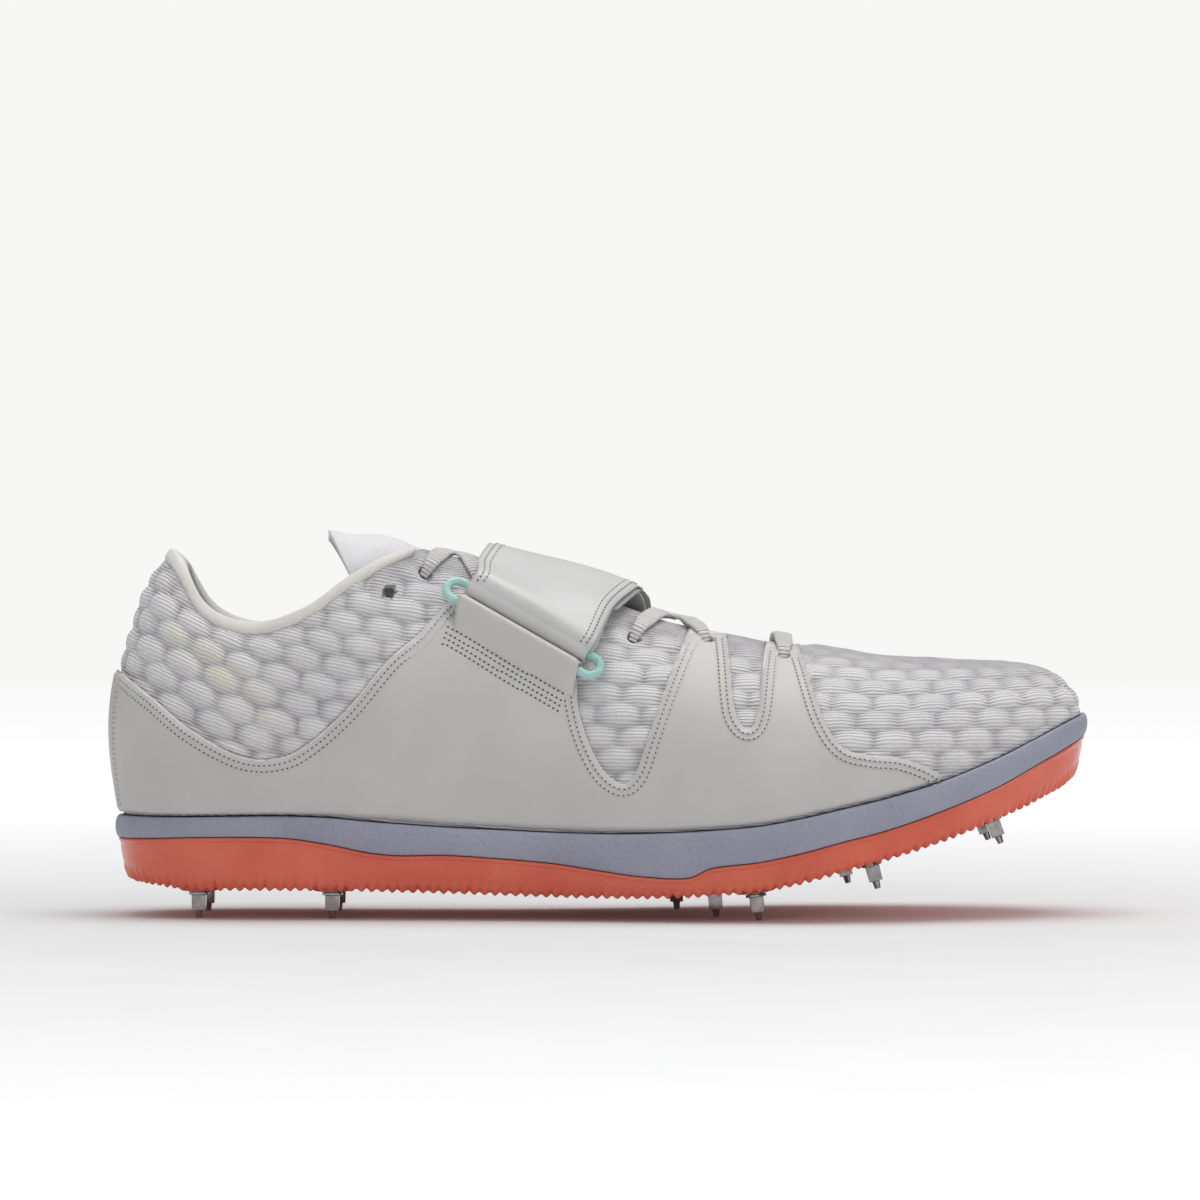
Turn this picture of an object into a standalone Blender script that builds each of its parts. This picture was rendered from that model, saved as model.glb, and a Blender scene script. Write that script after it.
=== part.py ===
"""A right track spike shoe for field events, standing empty on its spikes.

Metres, +Z up, +X towards the toe and +Y towards the medial side of the foot. The shoe is modelled
from the back of the heel forwards and then moved so that the origin is under its middle.
"""

import math

import bmesh
import bpy
from mathutils import Matrix, Vector

MM = 0.001

# Main sizes of the shoe
SHOE_LENGTH = 288 * MM
BALL_HALF_WIDTH = 46 * MM
ANKLE_HALF_WIDTH = 28.5 * MM
HEEL_HEIGHT = 76.2 * MM
INSTEP_HEIGHT = 79.8 * MM
TOE_SWING = 10 * MM
UPPER_WALL = 2.0 * MM
UPPER_SWELL = 9.0 * MM
TOE_SQUARENESS = 2.15
COLLAR_FLARE = 2.2

# Sole
SOLE_STACK = 20.4 * MM
TOE_SPRING = 37 * MM
MIDSOLE_WELT = 1.4 * MM
MIDSOLE_BULGE = 0.7 * MM
MIDSOLE_TOP_ROUND = 0.8 * MM
PLATE_LIP_HEIGHT = 1.3 * MM
PLATE_LIP_OUT = 0.5 * MM
PLATE_TAPER = 5.0 * MM
PLATE_INSET = 0.3 * MM
INSOLE_THICKNESS = 4.0 * MM
INSOLE_LIP = 1.2 * MM
INSOLE_ROOM = 0.5 * MM

# Spikes
SPIKE_LENGTH = 7.9 * MM
SPIKE_FLANGE_RADIUS = 3.0 * MM
SPIKE_FLANGE_THICKNESS = 0.8 * MM
SPIKE_BODY_RADIUS = 2.3 * MM
SPIKE_PIN_RADIUS = 1.0 * MM
SPIKE_PIN_LENGTH = 2.3 * MM
SPIKE_SHANK_RADIUS = 2.2 * MM
SPIKE_SHANK_LENGTH = 3.2 * MM
BOSS_RADIUS = 4.4 * MM
BOSS_FLARE = 2.4 * MM
BOSS_HEIGHT = 1.1 * MM
UPRIGHT_SLOPE = math.radians(2)

# Throat, tongue, collar and laces
THROAT_HALF_GAP_TOP = 8 * MM
THROAT_HALF_GAP_FRONT = 12 * MM
EYELET_RADIUS = 1.8 * MM
EYELET_INSET = 11.5 * MM
TONGUE_THICKNESS = 3.4 * MM
TONGUE_HALF_WIDTH = 20 * MM
TONGUE_ROOM = 0.8 * MM
TONGUE_ARC = 1.25
BINDING_DROP = 2.8 * MM
BINDING_THICKNESS = 1.0 * MM
BINDING_ROOM = 0.5 * MM
LACE_WIDTH = 5.4 * MM
LACE_THICKNESS = 1.3 * MM
OVERLAY_THICKNESS = 1.0 * MM

# Strap and its ring
STRAP_THICKNESS = 1.2 * MM
STRAP_LAYER_GAP = 0.4 * MM
STRAP_STRAIGHT = 4.5 * MM
TAB_THICKNESS = 1.0 * MM
TAB_REACH = 15.5 * MM
TAB_BACK_REACH = 2.2 * MM
RING_WIRE_RADIUS = 1.25 * MM
RING_END_ROOM = 2.2 * MM
WRAP_ROOM = 0.55 * MM

# Clearances between neighbouring pieces
GAP = 0.3 * MM

# Sections of the upper from the heel's back to the toe's tip. Shares: along and top_along of
# SHOE_LENGTH, lateral and medial of BALL_HALF_WIDTH, collar of ANKLE_HALF_WIDTH, heel of HEEL_HEIGHT,
# instep of INSTEP_HEIGHT, swells of UPPER_SWELL; crown runs from 0, an upright wall, to 1, a full dome.
SECTION_COLUMNS = (
    "along", "lateral", "medial", "top_along", "collar", "heel", "instep", "crown", "swell_lat", "swell_med",
)
SECTIONS = (
    (0.0135, 0.000, 0.000, 0.0640, 0.00, 1.000, 0.000, 0.00, 1.00, 1.00),
    (0.0278, 0.335, 0.335, 0.0760, 0.34, 0.952, 0.000, 0.00, 0.93, 0.93),
    (0.0625, 0.545, 0.540, 0.0990, 0.60, 0.800, 0.000, 0.00, 0.80, 0.80),
    (0.1076, 0.645, 0.635, 0.1320, 0.80, 0.726, 0.000, 0.00, 0.70, 0.72),
    (0.1528, 0.685, 0.663, 0.1700, 0.94, 0.720, 0.000, 0.00, 0.62, 0.68),
    (0.1979, 0.702, 0.659, 0.2118, 1.00, 0.390, 0.376, 0.10, 0.55, 0.68),
    (0.2431, 0.709, 0.637, 0.2535, 0.92, 0.200, 0.677, 0.35, 0.50, 0.70),
    (0.2882, 0.717, 0.609, 0.2986, 0.65, 0.000, 0.966, 0.70, 0.45, 0.72),
    (0.3333, 0.730, 0.587, 0.3437, 0.00, 0.000, 1.000, 1.00, 0.40, 0.72),
    (0.4028, 0.765, 0.576, 0.4201, 0.00, 0.000, 0.937, 1.00, 0.33, 0.68),
    (0.4757, 0.833, 0.620, 0.5000, 0.00, 0.000, 0.871, 1.00, 0.28, 0.60),
    (0.5521, 0.913, 0.728, 0.5799, 0.00, 0.000, 0.771, 1.00, 0.22, 0.40),
    (0.6319, 0.985, 0.870, 0.6563, 0.00, 0.000, 0.697, 1.00, 0.17, 0.25),
    (0.7118, 1.000, 0.978, 0.7257, 0.00, 0.000, 0.605, 1.00, 0.17, 0.17),
    (0.7847, 0.910, 0.993, 0.7847, 0.00, 0.000, 0.508, 1.00, 0.12, 0.12),
    (0.8507, 0.770, 0.945, 0.8333, 0.00, 0.000, 0.427, 1.00, 0.08, 0.08),
    (0.9097, 0.580, 0.840, 0.8715, 0.00, 0.000, 0.332, 1.00, 0.04, 0.04),
    (0.9520, 0.375, 0.700, 0.8960, 0.00, 0.000, 0.256, 1.00, 0.00, 0.00),
    (0.9770, 0.190, 0.545, 0.9060, 0.00, 0.000, 0.215, 1.00, 0.00, 0.00),
    (0.9890, 0.020, 0.385, 0.9110, 0.00, 0.000, 0.195, 1.00, 0.00, 0.00),
    (0.9930, -0.200, 0.200, 0.9132, 0.00, 0.000, 0.190, 1.00, 0.00, 0.00),
)
TOE_ROW = len(SECTIONS) - 1
RIDGE_ROW = 8
RING_STEPS = 2 * TOE_ROW

# Side view of the sole. Shares: along of SHOE_LENGTH, rise of TOE_SPRING, stack of SOLE_STACK, and
# seam, where the plate ends and the foam starts, of the stack at that row.
SOLE_PROFILE = (
    # along, rise, stack, seam
    (0.000, 0.140, 0.745, 0.57),
    (0.022, 0.085, 0.850, 0.62),
    (0.056, 0.045, 0.925, 0.67),
    (0.088, 0.018, 0.980, 0.70),
    (0.154, 0.016, 1.000, 0.70),
    (0.192, 0.016, 1.000, 0.68),
    (0.230, 0.016, 0.980, 0.61),
    (0.269, 0.010, 0.940, 0.53),
    (0.300, 0.004, 0.917, 0.51),
    (0.345, -0.003, 0.887, 0.55),
    (0.403, -0.016, 0.873, 0.53),
    (0.454, -0.027, 0.863, 0.49),
    (0.505, -0.032, 0.858, 0.38),
    (0.542, -0.032, 0.863, 0.30),
    (0.588, -0.022, 0.873, 0.26),
    (0.610, -0.010, 0.873, 0.39),
    (0.656, 0.022, 0.873, 0.42),
    (0.698, 0.081, 0.873, 0.44),
    (0.739, 0.168, 0.845, 0.45),
    (0.786, 0.265, 0.824, 0.45),
    (0.840, 0.395, 0.808, 0.48),
    (0.896, 0.555, 0.822, 0.50),
    (0.940, 0.700, 0.845, 0.55),
    (0.974, 0.830, 0.830, 0.57),
    (1.000, 0.985, 0.686, 0.56),
)

# Places along the shoe of the short slope where the seam steps up to the forefoot
SEAM_NOTCH = (0.588, 0.610)

# Spikes: along is a share of SHOE_LENGTH, across runs from -1 at the lateral edge to 1 at the
# medial edge, and the standing ones reach the floor.
SPIKES = (
    # name, along, across, standing
    ("spike_heel_lateral_rear", 0.096, -0.74, True),
    ("spike_heel_medial_rear", 0.096, 0.74, True),
    ("spike_heel_lateral_front", 0.231, -0.74, True),
    ("spike_heel_medial_front", 0.231, 0.74, True),
    ("spike_ball_medial_rear", 0.579, 0.80, True),
    ("spike_ball_middle", 0.616, -0.30, True),
    ("spike_ball_lateral_rear", 0.656, -0.72, True),
    ("spike_ball_medial", 0.752, 0.74, False),
    ("spike_ball_lateral", 0.772, -0.70, False),
    ("spike_toe_medial", 0.893, 0.60, False),
    ("spike_toe_lateral", 0.897, -0.50, False),
)

# Free end of the tongue behind the throat. Shares: along of SHOE_LENGTH, height of INSTEP_HEIGHT
# above the sole, half_width and drop of TONGUE_HALF_WIDTH, lag of SHOE_LENGTH by which the edges trail.
TONGUE_END = (
    # along, height, half_width, drop, lag
    (0.318, 1.004, 0.78, 0.80, 0.003),
    (0.300, 1.034, 0.82, 0.85, 0.008),
    (0.276, 1.058, 0.88, 0.85, 0.015),
    (0.250, 1.058, 0.92, 0.80, 0.022),
    (0.222, 1.076, 0.90, 0.75, 0.028),
)

# Lace holes of each side, front to back: along is a share of SHOE_LENGTH on the ridge, inset a
# share of EYELET_INSET down from the throat's edge.
EYELETS = (
    # along, inset
    (0.694, 1.00),
    (0.620, 0.72),
    (0.549, 1.17),
    (0.470, 1.00),
    (0.388, 1.00),
    (0.329, 1.00),
    (0.294, 1.08),
)

# Lace holes of each side, from the front, that go through the side overlay too
OVERLAY_HOLES = 2

# Upper outline of the side overlays in side view, heel to toe. Shares: along of SHOE_LENGTH, height
# of INSTEP_HEIGHT above the heel's sole top; corner points are kept sharp.
OVERLAY_OUTLINE = (
    # along, height, corner
    (-0.030, 0.520, True),
    (0.018, 0.512, True),
    (0.052, 0.425, False),
    (0.095, 0.305, False),
    (0.145, 0.216, False),
    (0.184, 0.217, False),
    (0.213, 0.275, False),
    (0.250, 0.397, False),
    (0.288, 0.562, False),
    (0.332, 0.690, False),
    (0.354, 0.725, True),
    (0.465, 0.512, True),
    (0.477, 0.480, False),
    (0.479, 0.392, False),
    (0.489, 0.270, False),
    (0.505, 0.165, False),
    (0.524, 0.122, False),
    (0.537, 0.165, False),
    (0.549, 0.290, False),
    (0.570, 0.500, False),
    (0.596, 0.690, True),
    (0.626, 0.690, True),
    (0.630, 0.560, False),
    (0.634, 0.390, False),
    (0.642, 0.325, False),
    (0.651, 0.320, False),
    (0.658, 0.385, False),
    (0.664, 0.560, False),
    (0.671, 0.634, True),
    (0.698, 0.625, True),
    (0.706, 0.540, False),
    (0.722, 0.350, False),
    (0.741, 0.250, False),
    (0.768, 0.222, False),
    (0.802, 0.208, False),
    (0.838, 0.152, False),
    (0.860, 0.052, True),
)

# Course of the strap's edges: the row of SECTIONS at the ridge, the slant by which the strap runs
# forwards to the medial side, and its ends as shares of the girth from the sole's edge to the ridge.
STRAP_EDGES = {
    # edge: row, slant, lateral end, medial end, free end
    "rear": (8.55, 0.14, 0.615, 0.36, 0.74),
    "front": (10.45, 0.33, 0.472, 0.27, 0.64),
}
INSTEP_PITCH = math.radians(14)

# Rows between which the side overlays lie, and how finely the upper's form is divided
HEEL_SEAM_ROW = 0.06
OVERLAY_FOOT = 0.012
OVERLAY_LAST_ROW = 16
BINDING_LAST_ROW = 7.3
COLLAR_LAST_ROW = 7.68
TONGUE_FRONT_ROWS = 0.7
TONGUE_FRONT_DIP = 1.4 * MM
COLUMN_STEPS_PER_ROW = 2
WALL_STEPS = 8


def catmull(p0, p1, p2, p3, t):
    """A smooth curve through p1 and p2 at t from 0 to 1."""
    return 0.5 * (
        2 * p1
        + (p2 - p0) * t
        + (2 * p0 - 5 * p1 + 4 * p2 - p3) * t * t
        + (3 * p1 - p0 - 3 * p2 + p3) * t * t * t
    )


def ring_value(values, w):
    """A smooth value at ring place w of a closed list."""
    count = len(values)
    i = math.floor(w)
    return catmull(*(values[(i + k) % count] for k in (-1, 0, 1, 2)), w - i)


def line_value(rows, column, x):
    """A smooth value of a table at x, with x in the table's first column."""
    last = len(rows) - 1
    x = min(max(x, rows[0][0]), rows[last][0])
    i = next(k for k in range(last) if x <= rows[k + 1][0])
    span = rows[i + 1][0] - rows[i][0]
    before, after = rows[max(i - 1, 0)], rows[min(i + 2, last)]
    slope_in = (rows[i + 1][column] - before[column]) / (rows[i + 1][0] - before[0])
    slope_out = (after[column] - rows[i][column]) / (after[0] - rows[i][0])
    a, b = rows[i][column], rows[i + 1][column]
    t = (x - rows[i][0]) / span
    return (
        a * (2 * t**3 - 3 * t**2 + 1)
        + slope_in * span * (t**3 - 2 * t**2 + t)
        + b * (3 * t**2 - 2 * t**3)
        + slope_out * span * (t**3 - t**2)
    )


def ring_list(lateral, medial):
    """A column of the lateral rows, heel to toe, and of the medial rows back to the heel."""
    return lateral + medial[-2:0:-1]


def column(name, scale=1.0):
    i = SECTION_COLUMNS.index(name)
    return [row[i] * scale for row in SECTIONS]


def both(name, scale=1.0):
    values = column(name, scale)
    return ring_list(values, values)


BASE_X = both("along", SHOE_LENGTH)
TOP_X = both("top_along", SHOE_LENGTH)
COLLAR = both("collar", ANKLE_HALF_WIDTH)
HEEL_SHARE = both("heel", HEEL_HEIGHT)
INSTEP_SHARE = both("instep", INSTEP_HEIGHT)
CROWN = both("crown")
SWELL = ring_list(column("swell_lat", UPPER_SWELL), column("swell_med", UPPER_SWELL))


def swing(x):
    """Sideways bend of the last's middle line towards the big toe."""
    t = max(0.0, (x / SHOE_LENGTH - 0.6) / 0.4)
    return TOE_SWING * t * t * (3 - 2 * min(t, 1.0)) if t < 1 else TOE_SWING


def base_y():
    """Feather edge of the upper at each ring place, from the half widths at the ball."""
    rows = SECTIONS[:TOE_ROW]
    lateral = [-row[1] * BALL_HALF_WIDTH for row in rows]
    medial = [row[2] * BALL_HALF_WIDTH for row in rows]
    return ring_list(lateral + [TOE_SWING], medial + [TOE_SWING])


BASE_Y = base_y()


def ground(x):
    """Height of the plate's underside, from which the spikes' bosses stand out, at x."""
    return SPIKE_LENGTH + BOSS_HEIGHT + TOE_SPRING * line_value(SOLE_PROFILE, 1, x / SHOE_LENGTH)


def stack(x):
    return SOLE_STACK * line_value(SOLE_PROFILE, 2, x / SHOE_LENGTH)


def seam(x):
    """Height at which the plate ends and the foam starts."""
    return ground(x) + stack(x) * line_value(SOLE_PROFILE, 3, x / SHOE_LENGTH)


def sole_top(x):
    return ground(x) + stack(x)


def side_of(w):
    """-1 on the lateral half of the ring and 1 on the medial half."""
    return -1 if w % RING_STEPS <= TOE_ROW else 1


def row_of(w):
    """Row of SECTIONS, with a fraction, at ring place w."""
    w = w % RING_STEPS
    return w if w <= TOE_ROW else RING_STEPS - w


def place(side, row):
    """Ring place of a row on one side."""
    return row if side < 0 else RING_STEPS - row


def base_point(w):
    return Vector((ring_value(BASE_X, w), ring_value(BASE_Y, w)))


def base_normal(w):
    """Level direction out of the shoe at ring place w of the feather edge."""
    step = 0.05
    along = base_point(w + step) - base_point(w - step)
    return Vector((along.y, -along.x)).normalized()


def top_point(w):
    """The collar's edge behind the ridge row and the ridge in front of it."""
    x = ring_value(TOP_X, w)
    base = sole_top(ring_value(BASE_X, w)) + GAP
    z = base + ring_value(HEEL_SHARE, w) + ring_value(INSTEP_SHARE, w)
    out = side_of(w) * max(0.0, ring_value(COLLAR, w)) if row_of(w) < RIDGE_ROW else 0.0
    return Vector((x, out + swing(x), z))


def form(w, v):
    """The last: w goes round the feather edge, v from 0 at the sole to 1 at the collar or ridge."""
    base, top = base_point(w), top_point(w)
    base_z = sole_top(base.x) + GAP
    crown = min(max(ring_value(CROWN, w), 0.0), 1.0)
    toe = min(max((row_of(w) - 12) / 5, 0.0), 1.0)
    power = 2 / (2 + (TOE_SQUARENESS - 2) * toe)
    angle = min(max(v, 0.0), 1.0) * math.pi / 2
    inward = (1 - crown) * v + crown * (1 - max(math.cos(angle), 0.0) ** power)
    upward = (1 - crown) * v + crown * math.sin(angle) ** power
    fullness = math.sin(math.pi * v) * (1 + COLLAR_FLARE * (1 - crown) * v**8)
    swell = max(0.0, ring_value(SWELL, w)) * fullness
    level = base + (top.xy - base) * inward + base_normal(w) * swell
    return Vector((level.x, level.y, base_z + (top.z - base_z) * upward))


def form_normal(w, v):
    dw, dv = 0.04, 0.01
    low, high = max(v - dv, 0.002), min(v + dv, 0.998)
    round_shoe = form(w + dw, min(v, 0.985)) - form(w - dw, min(v, 0.985))
    upwards = form(w, high) - form(w, low)
    return upwards.cross(round_shoe).normalized() * -1


def skin(w, v, out=0.0):
    """A point that stands out from the last, or in from it where out is negative."""
    return form(w, v) + form_normal(w, v) * out


def throat_front():
    return 0.722 * SHOE_LENGTH


def throat_half_gap(x):
    """Half the throat's width at x, 0 in front of its round end."""
    front, back = throat_front(), TOP_X[RIDGE_ROW]
    if x >= front:
        return 0.0
    share = min(max((x - back) / (front - back), 0.0), 1.0)
    width = THROAT_HALF_GAP_TOP + (THROAT_HALF_GAP_FRONT - THROAT_HALF_GAP_TOP) * share
    round_end = min(1.0, (front - x) / THROAT_HALF_GAP_FRONT)
    return width * math.sqrt(1 - (1 - round_end) ** 2)


def edge_share(w):
    """The v at which the upper ends: 1 at collar and closed ridge, less beside the throat."""
    def short_of_throat(v):
        point = form(w, v)
        return abs(point.y - swing(point.x)) >= throat_half_gap(point.x)

    if row_of(w) < RIDGE_ROW - 2 or short_of_throat(1.0):
        return 1.0
    low, high = 0.4, 1.0
    for _ in range(30):
        middle = (low + high) / 2
        low, high = (middle, high) if short_of_throat(middle) else (low, middle)
    return low


def ridge_row_at(x):
    """The row of SECTIONS whose top lies at x."""
    low, high = 0.0, float(TOE_ROW)
    for _ in range(30):
        middle = (low + high) / 2
        low, high = (middle, high) if ring_value(TOP_X, middle) < x else (low, middle)
    return low


def base_row_at(x):
    """The row of SECTIONS whose feather edge lies at x."""
    low, high = 0.0, float(TOE_ROW)
    for _ in range(30):
        middle = (low + high) / 2
        low, high = (middle, high) if ring_value(BASE_X, middle) < x else (low, middle)
    return low


def plan_place(x, y):
    """Ring place and v of the last straight above the plan point x, y on the instep."""
    side = -1 if y < swing(x) else 1
    low, high = RIDGE_ROW - 2.0, TOE_ROW - 2.0
    for _ in range(30):
        middle = (low + high) / 2
        w = place(side, middle)
        v = share_at_side(w, abs(y - swing(x)))
        low, high = (middle, high) if form(w, v).x < x else (low, middle)
    return w, v


def girth_step(w, v, distance):
    """The v that lies distance down the skin from v."""
    here, gone, step = v, 0.0, 0.004
    while gone < distance and here > step:
        gone += (form(w, here) - form(w, here - step)).length
        here -= step
    return here


def share_at_side(w, half_width):
    """The v at which the last comes within half_width of the middle line."""
    low, high = 0.3, 1.0
    for _ in range(30):
        middle = (low + high) / 2
        point = form(w, middle)
        far = abs(point.y - swing(point.x)) > half_width
        low, high = (middle, high) if far else (low, middle)
    return low


# Building blocks


def clear_scene():
    for obj in list(bpy.data.objects):
        bpy.data.objects.remove(obj)


def material(name, colour, roughness, metallic=0.0):
    made = bpy.data.materials.new(name)
    made.use_nodes = True
    shader = made.node_tree.nodes["Principled BSDF"]
    shader.inputs["Base Color"].default_value = (*colour, 1.0)
    shader.inputs["Roughness"].default_value = roughness
    shader.inputs["Metallic"].default_value = metallic
    return made


def add_object(name, bm, finish=None, smooth=True):
    """A new object from bm, with doubles merged and faces turned out."""
    bmesh.ops.remove_doubles(bm, verts=bm.verts, dist=0.002 * MM)
    bmesh.ops.recalc_face_normals(bm, faces=bm.faces)
    mesh = bpy.data.meshes.new(name)
    bm.to_mesh(mesh)
    bm.free()
    if smooth:
        mesh.shade_smooth()
        mesh.set_sharp_from_angle(angle=math.radians(40))
    obj = bpy.data.objects.new(name, mesh)
    bpy.context.scene.collection.objects.link(obj)
    if finish is not None:
        mesh.materials.append(finish)
    return obj


def hide_helper(obj):
    obj.hide_render = True
    obj.display_type = "WIRE"
    return obj


def boolean(obj, other, operation):
    modifier = obj.modifiers.new(f"{operation.lower()} {other.name}", "BOOLEAN")
    modifier.operation = operation
    modifier.object = other
    modifier.solver = "EXACT"


def loft(rings, closed_along=False, caps=True):
    """A bmesh skinned through closed rings of equally many points."""
    bm = bmesh.new()
    rows = [[bm.verts.new(p) for p in ring] for ring in rings]
    count = len(rings[0])
    pairs = list(zip(rows, rows[1:])) + ([(rows[-1], rows[0])] if closed_along else [])
    for a, b in pairs:
        for i in range(count):
            j = (i + 1) % count
            bm.faces.new((a[i], a[j], b[j], b[i]))
    if caps and not closed_along:
        bm.faces.new(rows[0][::-1])
        bm.faces.new(rows[-1])
    return bm


def shell(outer, inner):
    """A closed sheet from two grids of points, split into triangles the same way on both faces."""
    bm = bmesh.new()
    tops = [[bm.verts.new(p) for p in line] for line in outer]
    bottoms = [[bm.verts.new(p) for p in line] for line in inner]
    last, rows = len(tops) - 1, len(tops[0]) - 1
    for grid in (tops, bottoms):
        for a, b in zip(grid, grid[1:]):
            for j in range(rows):
                bm.faces.new((a[j], a[j + 1], b[j + 1]))
                bm.faces.new((a[j], b[j + 1], b[j]))
    for i in range(last):
        for j in (0, rows):
            bm.faces.new((tops[i][j], tops[i + 1][j], bottoms[i + 1][j], bottoms[i][j]))
    for j in range(rows):
        for i in (0, last):
            bm.faces.new((tops[i][j], tops[i][j + 1], bottoms[i][j + 1], bottoms[i][j]))
    return bm


def ring_rows(steps_per_row):
    """Ring places all the way round at even steps."""
    count = RING_STEPS * steps_per_row
    return [i / steps_per_row for i in range(count)]


# Sole


def sole_ring(places, out, height):
    """A ring round the sole at one level: out and height are functions of x."""
    points = []
    for w in places:
        level = base_point(w) + base_normal(w) * out
        x = min(max(level.x, 0.0), SHOE_LENGTH)
        points.append(Vector((level.x, level.y, height(x))))
    return points


def layered_sole(rings):
    """A solid from rings of the sole's outline, with top and bottom closed by strips across it."""
    bm = bmesh.new()
    rows = [[bm.verts.new(p) for p in ring] for ring in rings]
    count = len(rings[0])
    for a, b in zip(rows, rows[1:]):
        for i in range(count):
            j = (i + 1) % count
            bm.faces.new((a[i], a[j], b[j], b[i]))
    for row in (rows[0], rows[-1]):
        for i in range(count // 2):
            corners = [row[i], row[i + 1], row[-i - 1], row[-i % count]]
            bm.faces.new(list(dict.fromkeys(corners)))
    return bm


def sole_places():
    """Ring places of the sole, the same rows on both sides and closer at the notch in its seam."""
    steps = 2
    notch = [base_row_at(share * SHOE_LENGTH) for share in SEAM_NOTCH]
    rows = [i / steps for i in range(TOE_ROW * steps + 1)]
    rows = sorted(notch + [row for row in rows if min(abs(row - n) for n in notch) > 0.2])
    return rows + [RING_STEPS - row for row in rows[-2:0:-1]]


def build_midsole(finish):
    places = sole_places()
    rings = [
        sole_ring(places, MIDSOLE_WELT, lambda x: seam(x) + GAP),
        sole_ring(places, MIDSOLE_WELT + MIDSOLE_BULGE, lambda x: (seam(x) * 0.55 + sole_top(x) * 0.45)),
        sole_ring(places, MIDSOLE_WELT + MIDSOLE_BULGE / 2, lambda x: sole_top(x) - MIDSOLE_TOP_ROUND),
        sole_ring(places, MIDSOLE_WELT - MIDSOLE_TOP_ROUND, sole_top),
    ]
    return add_object("midsole", layered_sole(rings), finish)


def spike_pose(along, across):
    """Where a spike's boss stands on the plate: its place and the plate's slope there."""
    x = along * SHOE_LENGTH
    row = base_row_at(x)
    edges = [base_point(place(side, row)).y for side in (-1, 1)]
    middle, half = sum(edges) / 2, (edges[1] - edges[0]) / 2 - PLATE_TAPER
    step = 2 * MM
    slope = math.atan2(ground(x + step) - ground(x - step), 2 * step)
    return Vector((x, middle + across * half, ground(x))), slope


def spike_frame(along, across, standing):
    """Matrix with its origin on the boss's face and -Z down the spike, upright on a level plate."""
    foot, slope = spike_pose(along, across)
    slope = slope if abs(slope) > UPRIGHT_SLOPE else 0.0
    turn = Matrix.Rotation(-slope, 4, "Y")
    reach = SPIKE_LENGTH * math.cos(slope) + SPIKE_PIN_RADIUS * abs(math.sin(slope))
    height = reach if standing else foot.z - BOSS_HEIGHT * math.cos(slope)
    return Matrix.Translation((foot.x, foot.y, height)) @ turn


def turned(steps, rows):
    """A bmesh turned about Z from rows of radius and height."""
    rings = []
    for radius, height in rows:
        turns = [(i + 0.5) * 2 * math.pi / steps for i in range(steps)]
        rings.append([Vector((radius * math.cos(a), radius * math.sin(a), height)) for a in turns])
    return loft(rings)


def build_outsole(finish):
    places = sole_places()
    edge = MIDSOLE_WELT - PLATE_INSET
    lip = PLATE_LIP_HEIGHT

    def between(share):
        return lambda x: ground(x) + (seam(x) - lip - ground(x)) * share

    rings = [
        sole_ring(places, edge - PLATE_TAPER, ground),
        sole_ring(places, edge - PLATE_TAPER * 0.55, between(0.10)),
        sole_ring(places, edge - PLATE_TAPER * 0.22, between(0.42)),
        sole_ring(places, edge - PLATE_LIP_OUT, between(1.0)),
        sole_ring(places, edge, lambda x: seam(x) - lip * 0.75),
        sole_ring(places, edge, seam),
    ]
    plate = add_object("outsole", layered_sole(rings), finish)
    steps = 8
    for name, along, across, standing in SPIKES:
        pose = spike_frame(along, across, standing)
        boss = turned(steps, (
            (BOSS_RADIUS, 0.0),
            (BOSS_RADIUS + BOSS_FLARE, BOSS_HEIGHT + BOSS_FLARE / 2),
            (BOSS_RADIUS, SPIKE_SHANK_LENGTH),
        ))
        boss.transform(pose)
        boolean(plate, hide_helper(add_object(f"boss_of_{name}", boss)), "UNION")
    for name, along, across, standing in SPIKES:
        pose = spike_frame(along, across, standing)
        room = SPIKE_SHANK_RADIUS + GAP / math.cos(math.pi / steps)
        socket = turned(steps, ((room, -1 * MM), (room, SPIKE_SHANK_LENGTH + GAP)))
        socket.transform(pose)
        boolean(plate, hide_helper(add_object(f"socket_of_{name}", socket)), "DIFFERENCE")
    return plate


def build_spikes(finish):
    """Screw-in steel spikes: shank in the boss, flange under it, square-cut body and pin."""
    made = []
    for name, along, across, standing in SPIKES:
        shoulder = SPIKE_LENGTH - SPIKE_PIN_LENGTH
        flange = GAP + SPIKE_FLANGE_THICKNESS
        bm = turned(6, (
            (SPIKE_SHANK_RADIUS, SPIKE_SHANK_LENGTH),
            (SPIKE_SHANK_RADIUS, -GAP),
            (SPIKE_FLANGE_RADIUS, -GAP),
            (SPIKE_FLANGE_RADIUS, -flange),
            (SPIKE_BODY_RADIUS, -flange),
            (SPIKE_BODY_RADIUS, -shoulder),
            (SPIKE_PIN_RADIUS, -shoulder),
            (SPIKE_PIN_RADIUS, -SPIKE_LENGTH),
        ))
        bm.transform(spike_frame(along, across, standing))
        made.append(add_object(name, bm, finish))
    return made


def build_insole(finish):
    places = ring_rows(1)
    inset = -(UPPER_WALL + INSOLE_ROOM)
    rings = [
        sole_ring(places, inset - INSOLE_LIP, lambda x: sole_top(x) + GAP),
        sole_ring(places, inset, lambda x: sole_top(x) + GAP + INSOLE_LIP),
        sole_ring(places, inset, lambda x: sole_top(x) + INSOLE_THICKNESS),
    ]
    return add_object("insole", layered_sole(rings), finish)


# Upper


def upper_places():
    """Ring places of the upper's columns, with one where the binding, collar and throat each end."""
    ends = [BINDING_LAST_ROW, COLLAR_LAST_ROW, ridge_row_at(throat_front())]
    rows = [i / COLUMN_STEPS_PER_ROW for i in range(TOE_ROW * COLUMN_STEPS_PER_ROW + 1)]
    rows = sorted(ends + [row for row in rows if min(abs(row - end) for end in ends) > 0.22])
    return rows + [RING_STEPS - row for row in rows[-2:0:-1]]


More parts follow.
